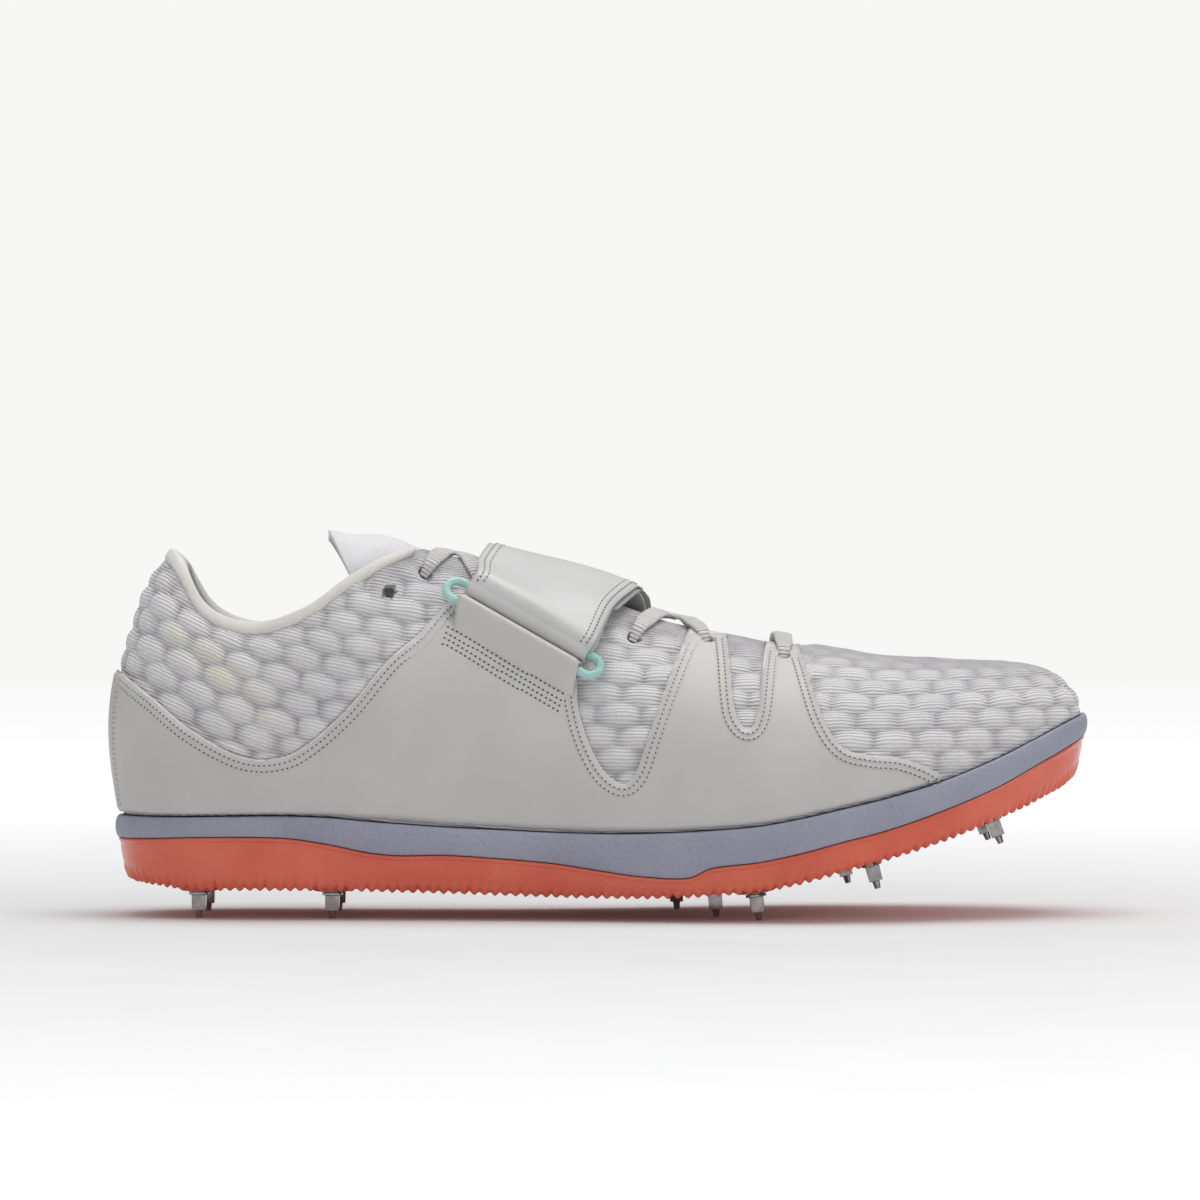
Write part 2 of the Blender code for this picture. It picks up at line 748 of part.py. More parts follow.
def eyelet_places():
    """Ring place and v of each lace hole, front to back on the lateral side and then the medial."""
    found = []
    for side in (-1, 1):
        for along, inset in EYELETS:
            w = place(side, ridge_row_at(along * SHOE_LENGTH))
            found.append((w, girth_step(w, edge_share(w), inset * EYELET_INSET)))
    return found


def eyelet_cutters():
    cutters = []
    for number, (w, v) in enumerate(eyelet_places()):
        reach = UPPER_WALL + 3 * MM
        bm = turned(8, ((EYELET_RADIUS, -reach), (EYELET_RADIUS, reach)))
        turn = form_normal(w, v).to_track_quat("Z", "X").to_matrix().to_4x4()
        bm.transform(Matrix.Translation(skin(w, v)) @ turn)
        cutters.append(hide_helper(add_object(f"eyelet_cutter_{number + 1}", bm)))
    return cutters


def build_upper(finish, cutters):
    """One hollow wall, open at collar, throat and underneath."""
    bm = bmesh.new()
    columns = []
    for w in upper_places():
        top = edge_share(w)
        columns.append([bm.verts.new(skin(w, top * j / WALL_STEPS)) for j in range(WALL_STEPS + 1)])
    for i, a in enumerate(columns):
        b = columns[(i + 1) % len(columns)]
        for j in range(WALL_STEPS):
            bm.faces.new((a[j], a[j + 1], b[j + 1]))
            bm.faces.new((a[j], b[j + 1], b[j]))
    upper = add_object("upper", bm, finish)
    wall = upper.modifiers.new("wall", "SOLIDIFY")
    wall.thickness = UPPER_WALL
    wall.offset = -1
    wall.use_even_offset = True
    for cutter in cutters:
        boolean(upper, cutter, "DIFFERENCE")
    return upper


def smooth_outline(rows, scale_x, scale_z, base_z, steps=3):
    """Side-view points through a table of along, height and corner."""
    points = []
    for i in range(len(rows) - 1):
        a, b = rows[i], rows[i + 1]
        before = a if a[2] or i == 0 else rows[i - 1]
        after = b if b[2] or i + 2 >= len(rows) else rows[i + 2]
        count = 1 if a[2] and b[2] else steps
        for k in range(count):
            t = k / count
            x, z = (catmull(before[c], a[c], b[c], after[c], t) for c in (0, 1))
            points.append((x * scale_x, base_z + z * scale_z))
    points.append((rows[-1][0] * scale_x, base_z + rows[-1][1] * scale_z))
    return points


def build_overlay(name, side, finish, cutters):
    """A leather side panel: the shell between two larger lasts, cut by its side-view outline."""
    places = [w for w in upper_places() if side_of(w) == side]
    places = [w for w in places if HEEL_SEAM_ROW < row_of(w) < OVERLAY_LAST_ROW]
    places = sorted(places + [place(side, HEEL_SEAM_ROW)])
    faces = []
    for out in (GAP + OVERLAY_THICKNESS, GAP):
        lines = []
        for w in places:
            shares = [max(j / WALL_STEPS, OVERLAY_FOOT) * edge_share(w) for j in range(WALL_STEPS)]
            lines.append([skin(w, v, out) for v in shares])
        faces.append(lines)
    panel = add_object(name, shell(*faces), finish)
    outline = smooth_outline(OVERLAY_OUTLINE, SHOE_LENGTH, INSTEP_HEIGHT, sole_top(0.15 * SHOE_LENGTH))
    outline = [(outline[0][0], 0.0)] + outline + [(outline[-1][0], 0.0)]
    sides = [[Vector((x, y, z)) for x, z in outline] for y in (0.0, side * 2 * BALL_HALF_WIDTH)]
    prism = hide_helper(add_object(f"{name}_outline", loft(sides)))
    boolean(panel, prism, "INTERSECT")
    first = 0 if side < 0 else len(EYELETS)
    for cutter in cutters[first : first + OVERLAY_HOLES]:
        boolean(panel, cutter, "DIFFERENCE")
    return panel


def build_binding(finish):
    """Turned-over tape on the collar's edge: a channel that straddles the wall."""
    places = [w for w in upper_places() if row_of(w) < COLLAR_LAST_ROW + 0.01]
    places = sorted(w if w < RING_STEPS / 2 else w - RING_STEPS for w in places)
    edges = [form(w, 1.0) for w in places]
    lows = [form(w, 1 - 1 / WALL_STEPS) for w in places]
    inner = UPPER_WALL / 2 + BINDING_ROOM
    outer = inner + BINDING_THICKNESS
    top = BINDING_ROOM + BINDING_THICKNESS
    shape = (
        (-outer, -BINDING_DROP), (-outer, BINDING_ROOM), (-inner, top), (inner, top),
        (outer, BINDING_ROOM), (outer, -BINDING_DROP), (inner, -BINDING_DROP), (inner, BINDING_ROOM),
        (-inner, BINDING_ROOM), (-inner, -BINDING_DROP),
    )
    rings = []
    for i in range(1, len(places) - 1):
        up = (edges[i] - lows[i]).normalized()
        faces = [(edges[k + 1] - edges[k]).cross(up).normalized() for k in (i - 1, i)]
        normal = (faces[0] + faces[1]).normalized()
        around = up.cross(normal)
        stretch = 1 / normal.dot(faces[0])
        up = (up - around * up.dot(around)).normalized()
        middle = edges[i] - normal * stretch * UPPER_WALL / 2
        rings.append([middle + normal * stretch * a + up * b for a, b in shape])
    return add_object("collar_binding", loft(rings), finish)


def build_tongue(finish):
    """A padded sheet under the throat that stands up behind it."""
    shares = (-1.0, -0.75, -0.42, 0.0, 0.42, 0.75, 1.0)
    front = ridge_row_at(throat_front()) + TONGUE_FRONT_ROWS
    rows = sorted({row_of(w) for w in upper_places() if RIDGE_ROW < row_of(w) < front}, reverse=True)
    rings = []
    for row in rows:
        upper_row, lower_row = [], []
        dip = min(max(row - front + 2 * TONGUE_FRONT_ROWS, 0.0), 1.0) * TONGUE_FRONT_DIP
        top = -(UPPER_WALL + TONGUE_ROOM + dip)
        for share in shares:
            w = place(-1 if share < 0 else 1, row)
            v = share_at_side(w, abs(share) * TONGUE_HALF_WIDTH)
            upper_row.append(skin(w, v, top))
            lower_row.append(skin(w, v, top - TONGUE_THICKNESS * (1 - 0.55 * abs(share) ** 3)))
        rings.append(upper_row + lower_row[::-1])
    floor = sole_top(BASE_X[RIDGE_ROW])
    for along, height, half_width, drop, lag in TONGUE_END:
        upper_row, lower_row = [], []
        for share in shares:
            angle = share * TONGUE_ARC
            sine = math.sin(angle) / math.sin(TONGUE_ARC)
            sag = (1 - math.cos(angle)) / (1 - math.cos(TONGUE_ARC))
            x = along * SHOE_LENGTH + lag * SHOE_LENGTH * abs(share) ** 1.5
            y = sine * half_width * TONGUE_HALF_WIDTH
            z = floor + height * INSTEP_HEIGHT - sag * drop * TONGUE_HALF_WIDTH
            out = Vector((-0.12, math.sin(angle), math.cos(angle))).normalized()
            upper_row.append(Vector((x, y, z)))
            lower_row.append(Vector((x, y, z)) - out * TONGUE_THICKNESS * (1 - 0.5 * abs(share) ** 3))
        rings.append(upper_row + lower_row[::-1])
    return add_object("tongue", loft(rings), finish)


# Strap, ring and tab


def strap_place(share, v, side):
    """Ring place under the strap: share runs from its rear edge to its front edge."""
    ridge, slant = strap_end(0, share), strap_end(1, share)
    middle_point = form(ridge, 1.0)
    across = Vector((math.cos(INSTEP_PITCH), -slant, -math.sin(INSTEP_PITCH)))
    low, high = ridge - 3.0, ridge + 3.0
    for _ in range(30):
        middle = (low + high) / 2
        behind = (form(place(side, middle), v) - middle_point).dot(across) < 0
        low, high = (middle, high) if behind else (low, middle)
    return place(side, middle)


def strap_end(column_index, share):
    rear, front = STRAP_EDGES["rear"][column_index], STRAP_EDGES["front"][column_index]
    return rear + (front - rear) * share


def ring_axes():
    """The strap ring's frame: middle, direction along its bars, up its width and out of the shoe."""
    lift = GAP * 2 + OVERLAY_THICKNESS + TAB_THICKNESS + WRAP_ROOM + RING_WIRE_RADIUS
    ends = []
    for share in (0.0, 1.0):
        v = strap_end(2, share)
        ends.append(skin(strap_place(share, v, -1), v, lift))
    along = (ends[1] - ends[0]).normalized()
    v = strap_end(2, 0.5)
    w = strap_place(0.5, v, -1)
    out = form_normal(w, v)
    up = out.cross(along)
    if up.z < 0:
        up = -up
    out = (out - along * out.dot(along)).normalized()
    up = (up - along * up.dot(along) - out * up.dot(out)).normalized()
    return (ends[0] + ends[1]) / 2, along, up, out, (ends[1] - ends[0]).length


def ring_half_width():
    """From the ring's middle line to either bar: room for strap and tab turned round the bars."""
    return (2 * RING_WIRE_RADIUS + 2 * WRAP_ROOM + STRAP_THICKNESS + TAB_THICKNESS + GAP) / 2


def smooth_path(points, steps):
    """Points on a smooth curve through the given ones."""
    made = []
    for i in range(len(points) - 1):
        p0, p1 = points[max(i - 1, 0)], points[i]
        p2, p3 = points[i + 1], points[min(i + 2, len(points) - 1)]
        for k in range(steps):
            made.append(catmull(p0, p1, p2, p3, k / steps))
    made.append(points[-1])
    return made


def ribbon(paths, thickness):
    """A sheet of one thickness over paths of equally many points, side by side across it."""
    rings = []
    count = len(paths[0])
    for i in range(count):
        middle, normals = [], []
        for a, path in enumerate(paths):
            along = path[min(i + 1, count - 1)] - path[max(i - 1, 0)]
            across = paths[min(a + 1, len(paths) - 1)][i] - paths[max(a - 1, 0)][i]
            normals.append(along.cross(across).normalized())
            middle.append(path[i])
        upper_row = [m + n * thickness / 2 for m, n in zip(middle, normals)]
        lower_row = [m - n * thickness / 2 for m, n in zip(middle, normals)]
        rings.append(upper_row + lower_row[::-1])
    return loft(rings)


def strap_path(share):
    """Free end over the instep, down to the ring, round its upper bar and back to the medial side."""
    half = STRAP_THICKNESS / 2
    under = LACE_THICKNESS + 4 * GAP + half
    over = under + STRAP_THICKNESS + STRAP_LAYER_GAP
    low = GAP * 2 + OVERLAY_THICKNESS + half
    ring_end, medial_end, free_end = (strap_end(k, share) for k in (2, 3, 4))
    middle, along, up, out, length = ring_axes()
    bar = middle + along * (share - 0.5) * length + up * ring_half_width()
    radius = RING_WIRE_RADIUS + WRAP_ROOM + half

    def on_skin(v, side, lift):
        return skin(strap_place(share, v, side), v, lift)

    points = [on_skin(v, 1, over) for v in (free_end, (free_end + 1) / 2 - 0.02, 0.95)]
    points += [on_skin(v, -1, over) for v in (1.0, 0.93)]
    points.append(on_skin(ring_end + 0.55 * (0.93 - ring_end), -1, over))
    points.append(bar + up * STRAP_STRAIGHT + out * (radius + 0.3 * MM))
    for turn in (0, 45, 90, 135, 180):
        a = math.radians(turn)
        points.append(bar + out * radius * math.cos(a) - up * radius * math.sin(a))
    points.append(bar + up * STRAP_STRAIGHT - out * (radius - 0.2 * MM))
    points.append(on_skin(ring_end + 0.55 * (0.93 - ring_end), -1, (low + under) / 2))
    points += [on_skin(v, -1, under) for v in (0.93, 1.0)]
    points += [on_skin(v, 1, under) for v in (0.94, 0.84)]
    points.append(on_skin(0.70, 1, (low + under) / 2))
    points += [on_skin(medial_end + (0.70 - medial_end) * k, 1, low) for k in (0.62, 0.3, 0.0)]
    return smooth_path(points, 2)


def build_strap(finish):
    paths = [strap_path(share) for share in (0.0, 0.5, 1.0)]
    return add_object("strap", ribbon(paths, STRAP_THICKNESS), finish)


def tab_path(share):
    """The side panel's top turned outwards round the ring's lower bar and back behind it."""
    half = TAB_THICKNESS / 2
    middle, along, up, out, length = ring_axes()
    bar = middle + along * (share - 0.5) * length - up * ring_half_width()
    radius = RING_WIRE_RADIUS + WRAP_ROOM + half
    ring_end = strap_end(2, share)
    w = strap_place(share, ring_end, -1)
    lift = GAP * 3 + OVERLAY_THICKNESS + half

    def below(distance, height):
        v = girth_step(w, ring_end, distance)
        return skin(strap_place(share, v, -1), v, height)

    points = [below(TAB_REACH, lift), below(TAB_REACH * 0.8, lift), below(TAB_REACH * 0.55, lift + 3 * GAP)]
    for turn in (0, 45, 90, 135, 180):
        a = math.radians(turn)
        points.append(bar + out * radius * math.cos(a) + up * radius * math.sin(a))
    points.append(bar - up * TAB_BACK_REACH - out * (radius + GAP / 3))
    return smooth_path(points, 2)


def build_ring_tab(finish):
    paths = [tab_path(share) for share in (0.0, 0.5, 1.0)]
    return add_object("ring_tab", ribbon(paths, TAB_THICKNESS), finish)


def build_strap_ring(finish):
    middle, along, up, out, length = ring_axes()
    half_width = ring_half_width()
    half_length = length / 2 + RING_END_ROOM
    centre_line = []
    arc_steps = 6
    for sign in (1, -1):
        for k in range(arc_steps + 1):
            a = math.pi / 2 - math.pi * k / arc_steps
            across = half_width * math.sin(a) * sign
            forwards = sign * (half_length + half_width * math.cos(a))
            centre_line.append((forwards, across))
    rings = []
    sides = 8
    count = len(centre_line)
    for i, (a, b) in enumerate(centre_line):
        here = middle + along * a + up * b
        before, after = centre_line[i - 1], centre_line[(i + 1) % count]
        tangent = along * (after[0] - before[0]) + up * (after[1] - before[1])
        inward = tangent.cross(out).normalized()
        turns = [2 * math.pi * k / sides for k in range(sides)]
        wire = RING_WIRE_RADIUS
        rings.append([here + inward * wire * math.cos(t) + out * wire * math.sin(t) for t in turns])
    return add_object("strap_ring", loft(rings, closed_along=True), finish)


# Laces


def on_overlay(number):
    """True for the lace holes that also go through a side overlay."""
    return number % len(EYELETS) < OVERLAY_HOLES


def lace_span(holes, first, second, steps=10):
    """A flat lace over the instep between two lace holes, lying just clear of what is under it."""
    ends = [skin(*holes[hole]).xy for hole in (first, second)]
    lifts = [
        GAP + (OVERLAY_THICKNESS + GAP if on_overlay(hole) else 0.0) + LACE_THICKNESS / 2
        for hole in (first, second)
    ]
    points, normals = [], []
    for i in range(steps + 1):
        t = i / steps
        w, v = plan_place(*(ends[0] + (ends[1] - ends[0]) * t))
        points.append(skin(w, v, lifts[0] + (lifts[1] - lifts[0]) * t))
        normals.append(form_normal(w, min(v, 0.98)))
    rings = []
    for i, (point, normal) in enumerate(zip(points, normals)):
        along = points[min(i + 1, steps)] - points[max(i - 1, 0)]
        across = normal.cross(along).normalized() * LACE_WIDTH / 2
        thick = along.cross(across).normalized() * LACE_THICKNESS / 2
        rings.append([
            point - across, point - across * 0.6 + thick, point + across * 0.6 + thick,
            point + across, point + across * 0.6 - thick, point - across * 0.6 - thick,
        ])
    return loft(rings)


def build_laces(finish):
    """Bars and crossings between the lace holes, each joined where its two spans meet."""
    holes = eyelet_places()
    count = len(EYELETS)
    made = []
    for name, hole in (("lace_front_bar", 0), ("lace_middle_bar", 3)):
        made.append(add_object(name, lace_span(holes, hole, hole + count), finish))
    for name, hole in (("lace_crossing_front", 1), ("lace_crossing_rear", 4)):
        crossing = add_object(name, lace_span(holes, hole, hole + 1 + count), finish)
        other = lace_span(holes, hole + 1, hole + count)
        boolean(crossing, hide_helper(add_object(f"{name}_other", other)), "UNION")
        made.append(crossing)
    return made


def main():
    clear_scene()
    textile = material("white textile", (0.80, 0.79, 0.81), 0.8)
    leather = material("pale synthetic leather", (0.62, 0.61, 0.60), 0.45)
    foam = material("lavender foam", (0.28, 0.28, 0.38), 0.7)
    plate = material("coral plate", (0.75, 0.16, 0.09), 0.4)
    steel = material("bright steel", (0.75, 0.75, 0.75), 0.2, 1.0)
    mint = material("mint plastic", (0.38, 0.62, 0.58), 0.3)
    tape = material("cream binding", (0.66, 0.63, 0.58), 0.8)
    lining = material("grey lining", (0.5, 0.5, 0.5), 0.9)

    cutters = eyelet_cutters()
    pieces = [
        build_outsole(plate),
        build_midsole(foam),
        build_insole(lining),
        build_upper(textile, cutters),
        build_tongue(textile),
        build_overlay("lateral_overlay", -1, leather, cutters),
        build_overlay("medial_overlay", 1, leather, cutters),
        build_binding(tape),
        build_strap(leather),
        build_ring_tab(leather),
        build_strap_ring(mint),
    ]
    pieces += build_laces(tape)
    pieces += build_spikes(steel)

    bpy.context.view_layer.update()
    graph = bpy.context.evaluated_depsgraph_get()
    corners = [c for piece in pieces for c in corner_range(piece.evaluated_get(graph))]
    low = Vector(min(c[k] for c in corners) for k in range(3))
    high = Vector(max(c[k] for c in corners) for k in range(3))
    root = bpy.data.objects.new("shoe", None)
    bpy.context.scene.collection.objects.link(root)
    root.location = (-(low.x + high.x) / 2, -(low.y + high.y) / 2, -low.z)
    for obj in bpy.data.objects:
        if obj is not root:
            obj.parent = root


def corner_range(obj):
    """Lowest and highest corner of an evaluated object's vertices."""
    mesh = obj.to_mesh()
    points = [v.co.copy() for v in mesh.vertices]
    obj.to_mesh_clear()
    return [Vector(f(p[k] for p in points) for k in range(3)) for f in (min, max)]


main()
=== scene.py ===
import math

import bmesh
import bpy
import numpy as np
from mathutils import Matrix, Vector


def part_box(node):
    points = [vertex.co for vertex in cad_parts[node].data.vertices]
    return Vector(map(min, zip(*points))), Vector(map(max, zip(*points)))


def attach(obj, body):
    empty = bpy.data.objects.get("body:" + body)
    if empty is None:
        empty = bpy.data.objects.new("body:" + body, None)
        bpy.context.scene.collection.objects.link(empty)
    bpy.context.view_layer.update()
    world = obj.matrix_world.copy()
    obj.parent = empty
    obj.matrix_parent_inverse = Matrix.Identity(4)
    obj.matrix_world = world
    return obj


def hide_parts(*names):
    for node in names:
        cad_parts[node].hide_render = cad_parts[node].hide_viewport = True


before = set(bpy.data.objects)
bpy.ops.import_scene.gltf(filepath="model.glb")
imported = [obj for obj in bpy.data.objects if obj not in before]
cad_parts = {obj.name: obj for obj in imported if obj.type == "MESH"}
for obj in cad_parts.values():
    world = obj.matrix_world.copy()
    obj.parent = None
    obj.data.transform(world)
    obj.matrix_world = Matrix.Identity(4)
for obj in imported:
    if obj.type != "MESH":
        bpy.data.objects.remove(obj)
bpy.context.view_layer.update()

mm = 0.001
gap = 0.3 * mm  # between neighbouring parts
root = "root"

# Shape of the shoe.
# Lengths in metres from the back of the heel; rows run from the heel round the side to the toe.

last = {
    "length": 288 * mm,
    "ballHalfWidth": 46 * mm,
    "ankleHalfWidth": 28.5 * mm,
    "heelHeight": 76.2 * mm,
    "instepHeight": 79.8 * mm,
    "toeSwing": 10 * mm,
    "swingFrom": 0.6,  # along, where the last starts to bend towards the big toe
    "swell": 9 * mm,
    "toeSquareness": 2.15,
    "squareFrom": 12,  # row past which the toe grows square
    "squareRows": 5,
    "collarFlare": 2.2,
    "wall": 2 * mm,
}

# along, lateral, medial, top along, collar, heel, instep, crown, lateral swell, medial swell
lastRows = np.array([
    (0.0135, 0.000, 0.000, 0.0640, 0.00, 1.000, 0.000, 0.00, 1.00, 1.00),
    (0.0278, 0.335, 0.335, 0.0760, 0.34, 0.952, 0.000, 0.00, 0.93, 0.93),
    (0.0625, 0.545, 0.540, 0.0990, 0.60, 0.800, 0.000, 0.00, 0.80, 0.80),
    (0.1076, 0.645, 0.635, 0.1320, 0.80, 0.726, 0.000, 0.00, 0.70, 0.72),
    (0.1528, 0.685, 0.663, 0.1700, 0.94, 0.720, 0.000, 0.00, 0.62, 0.68),
    (0.1979, 0.702, 0.659, 0.2118, 1.00, 0.390, 0.376, 0.10, 0.55, 0.68),
    (0.2431, 0.709, 0.637, 0.2535, 0.92, 0.200, 0.677, 0.35, 0.50, 0.70),
    (0.2882, 0.717, 0.609, 0.2986, 0.65, 0.000, 0.966, 0.70, 0.45, 0.72),
    (0.3333, 0.730, 0.587, 0.3437, 0.00, 0.000, 1.000, 1.00, 0.40, 0.72),
    (0.4028, 0.765, 0.576, 0.4201, 0.00, 0.000, 0.937, 1.00, 0.33, 0.68),
    (0.4757, 0.833, 0.620, 0.5000, 0.00, 0.000, 0.871, 1.00, 0.28, 0.60),
    (0.5521, 0.913, 0.728, 0.5799, 0.00, 0.000, 0.771, 1.00, 0.22, 0.40),
    (0.6319, 0.985, 0.870, 0.6563, 0.00, 0.000, 0.697, 1.00, 0.17, 0.25),
    (0.7118, 1.000, 0.978, 0.7257, 0.00, 0.000, 0.605, 1.00, 0.17, 0.17),
    (0.7847, 0.910, 0.993, 0.7847, 0.00, 0.000, 0.508, 1.00, 0.12, 0.12),
    (0.8507, 0.770, 0.945, 0.8333, 0.00, 0.000, 0.427, 1.00, 0.08, 0.08),
    (0.9097, 0.580, 0.840, 0.8715, 0.00, 0.000, 0.332, 1.00, 0.04, 0.04),
    (0.9520, 0.375, 0.700, 0.8960, 0.00, 0.000, 0.256, 1.00, 0.00, 0.00),
    (0.9770, 0.190, 0.545, 0.9060, 0.00, 0.000, 0.215, 1.00, 0.00, 0.00),
    (0.9890, 0.020, 0.385, 0.9110, 0.00, 0.000, 0.195, 1.00, 0.00, 0.00),
    (0.9930, -0.200, 0.200, 0.9132, 0.00, 0.000, 0.190, 1.00, 0.00, 0.00),
])
toeRow = len(lastRows) - 1
ringSteps = 2 * toeRow
ridgeRow = 8

soleSizes = {
    "spikeLength": 7.9 * mm,
    "bossHeight": 1.1 * mm,
    "stack": 20.4 * mm,
    "toeSpring": 37 * mm,
    "welt": 1.4 * mm,
    "bulge": 0.7 * mm,
    "insole": 4 * mm,
    "insoleRoom": 0.5 * mm,
    "insoleLip": 1.2 * mm,
}

# along, rise, stack, seam
soleRows = np.array([
    (0.000, 0.140, 0.745, 0.57), (0.022, 0.085, 0.850, 0.62), (0.056, 0.045, 0.925, 0.67),
    (0.088, 0.018, 0.980, 0.70), (0.154, 0.016, 1.000, 0.70), (0.192, 0.016, 1.000, 0.68),
    (0.230, 0.016, 0.980, 0.61), (0.269, 0.010, 0.940, 0.53), (0.300, 0.004, 0.917, 0.51),
    (0.345, -0.003, 0.887, 0.55), (0.403, -0.016, 0.873, 0.53), (0.454, -0.027, 0.863, 0.49),
    (0.505, -0.032, 0.858, 0.38), (0.542, -0.032, 0.863, 0.30), (0.588, -0.022, 0.873, 0.26),
    (0.610, -0.010, 0.873, 0.39), (0.656, 0.022, 0.873, 0.42), (0.698, 0.081, 0.873, 0.44),
    (0.739, 0.168, 0.845, 0.45), (0.786, 0.265, 0.824, 0.45), (0.840, 0.395, 0.808, 0.48),
    (0.896, 0.555, 0.822, 0.50), (0.940, 0.700, 0.845, 0.55), (0.974, 0.830, 0.830, 0.57),
    (1.000, 0.985, 0.686, 0.56),
])


def catmull(p0, p1, p2, p3, t):
    return 0.5 * (
        2 * p1 + (p2 - p0) * t + (2 * p0 - 5 * p1 + 4 * p2 - p3) * t**2
        + (3 * p1 - p0 - 3 * p2 + p3) * t**3
    )


def ringValue(values, w):
    i = np.floor(w).astype(int)
    return catmull(*(values[(i + k) % len(values)] for k in (-1, 0, 1, 2)), w - i)


def lineValue(rows, k, place):
    x = np.clip(place, rows[0, 0], rows[-1, 0])
    i = np.clip(np.searchsorted(rows[:, 0], x) - 1, 0, len(rows) - 2)
    before, j, after = np.maximum(i - 1, 0), i + 1, np.minimum(i + 2, len(rows) - 1)
    span = rows[j, 0] - rows[i, 0]
    slopeIn = (rows[j, k] - rows[before, k]) / (rows[j, 0] - rows[before, 0])
    slopeOut = (rows[after, k] - rows[i, k]) / (rows[after, 0] - rows[i, 0])
    t = (x - rows[i, 0]) / span
    return (
        rows[i, k] * (2 * t**3 - 3 * t**2 + 1) + slopeIn * span * (t**3 - 2 * t**2 + t)
        + rows[j, k] * (3 * t**2 - 2 * t**3) + slopeOut * span * (t**3 - t**2)
    )


def bothSides(lateral, medial):
    return np.concatenate([lateral, medial[-2:0:-1]])


def sameBothSides(k, scale=1.0):
    return bothSides(lastRows[:, k] * scale, lastRows[:, k] * scale)


toeTip = [last["toeSwing"]]
ring = {
    "x": sameBothSides(0, last["length"]),
    "y": bothSides(
        np.concatenate([-lastRows[:-1, 1] * last["ballHalfWidth"], toeTip]),
        np.concatenate([lastRows[:-1, 2] * last["ballHalfWidth"], toeTip]),
    ),
    "topX": sameBothSides(3, last["length"]),
    "collar": sameBothSides(4, last["ankleHalfWidth"]),
    "height": sameBothSides(5, last["heelHeight"]) + sameBothSides(6, last["instepHeight"]),
    "crown": sameBothSides(7),
    "swell": bothSides(lastRows[:, 8] * last["swell"], lastRows[:, 9] * last["swell"]),
}


def swing(x):
    t = np.clip((x / last["length"] - last["swingFrom"]) / (1 - last["swingFrom"]), 0, 1)
    return last["toeSwing"] * t * t * (3 - 2 * t)


def ground(x):
    rise = lineValue(soleRows, 1, x / last["length"])
    return soleSizes["spikeLength"] + soleSizes["bossHeight"] + soleSizes["toeSpring"] * rise


def soleTop(x):
    return ground(x) + soleSizes["stack"] * lineValue(soleRows, 2, x / last["length"])


def seam(x):
    share = lineValue(soleRows, 3, x / last["length"])
    return ground(x) + (soleTop(x) - ground(x)) * share


def rowOf(w):
    w = w % ringSteps
    return np.where(w <= toeRow, w, ringSteps - w)


def sideOf(w):
    return np.where(w % ringSteps <= toeRow, -1.0, 1.0)


def place(side, row):
    return row if side < 0 else ringSteps - row


def basePoint(w):
    return np.stack([ringValue(ring["x"], w), ringValue(ring["y"], w)], -1)


def unit(vectors):
    return vectors / np.maximum(np.linalg.norm(vectors, axis=-1, keepdims=True), 1e-12)


def travelled(points):
    # distance gone along a line of points
    return np.concatenate([[0], np.cumsum(np.linalg.norm(np.diff(points, axis=0), axis=1))])


def baseNormal(w):
    along = basePoint(w + 0.05) - basePoint(w - 0.05)
    return unit(np.stack([along[..., 1], -along[..., 0]], -1))


def topPoint(w):
    x = ringValue(ring["topX"], w)
    base = soleTop(ringValue(ring["x"], w)) + gap
    out = sideOf(w) * np.maximum(0, ringValue(ring["collar"], w))
    out = np.where(rowOf(w) < ridgeRow, out, 0.0)
    return np.stack([x, out + swing(x), base + ringValue(ring["height"], w)], -1)


def form(w, v):
    w, v = np.broadcast_arrays(np.asarray(w, float), np.asarray(v, float))
    base, top = basePoint(w), topPoint(w)
    baseZ = soleTop(base[..., 0]) + gap
    crown = np.clip(ringValue(ring["crown"], w), 0, 1)
    toe = np.clip((rowOf(w) - last["squareFrom"]) / last["squareRows"], 0, 1)
    power = 2 / (2 + (last["toeSquareness"] - 2) * toe)
    angle = np.clip(v, 0, 1) * math.pi / 2
    inward = (1 - crown) * v + crown * (1 - np.maximum(np.cos(angle), 0) ** power)
    upward = (1 - crown) * v + crown * np.maximum(np.sin(angle), 0) ** power
    fullness = np.sin(math.pi * v) * (1 + last["collarFlare"] * (1 - crown) * np.maximum(v, 0) ** 8)
    swell = np.maximum(0, ringValue(ring["swell"], w)) * fullness
    level = base + (top[..., :2] - base) * inward[..., None] + baseNormal(w) * swell[..., None]
    z = baseZ + (top[..., 2] - baseZ) * upward
    return np.concatenate([level, z[..., None]], -1)


def formNormal(w, v):
    low, high = np.maximum(v - 0.01, 0.002), np.minimum(v + 0.01, 0.998)
    near = np.minimum(v, 0.985)
    roundShoe = form(w + 0.04, near) - form(w - 0.04, near)
    return unit(np.cross(roundShoe, form(w, high) - form(w, low)))


def skin(w, v, out=0.0):
    w, v, out = np.broadcast_arrays(*(np.asarray(values, float) for values in (w, v, out)))
    return form(w, v) + formNormal(w, v) * out[..., None]


def soleRing(w, out, height):
    level = basePoint(w) + baseNormal(w) * np.asarray(out)[..., None]
    return np.concatenate([level, height(level[..., 0])[..., None]], -1)


def halving(isLow, low, high, steps=30):
    low, high = np.array(low, float), np.array(high, float)
    for _ in range(steps):
        middle = (low + high) / 2
        below = isLow(middle)
        low, high = np.where(below, middle, low), np.where(below, high, middle)
    return low


def rowAt(x, values):
    # the row where the ridge, ring["topX"], or the sole's edge, ring["x"], lies at x
    x = np.asarray(x, float)
    return halving(lambda row: ringValue(values, row) < x, x * 0, x * 0 + toeRow)


throat = {"front": 0.722 * last["length"], "halfGapTop": 8 * mm, "halfGapFront": 12 * mm}


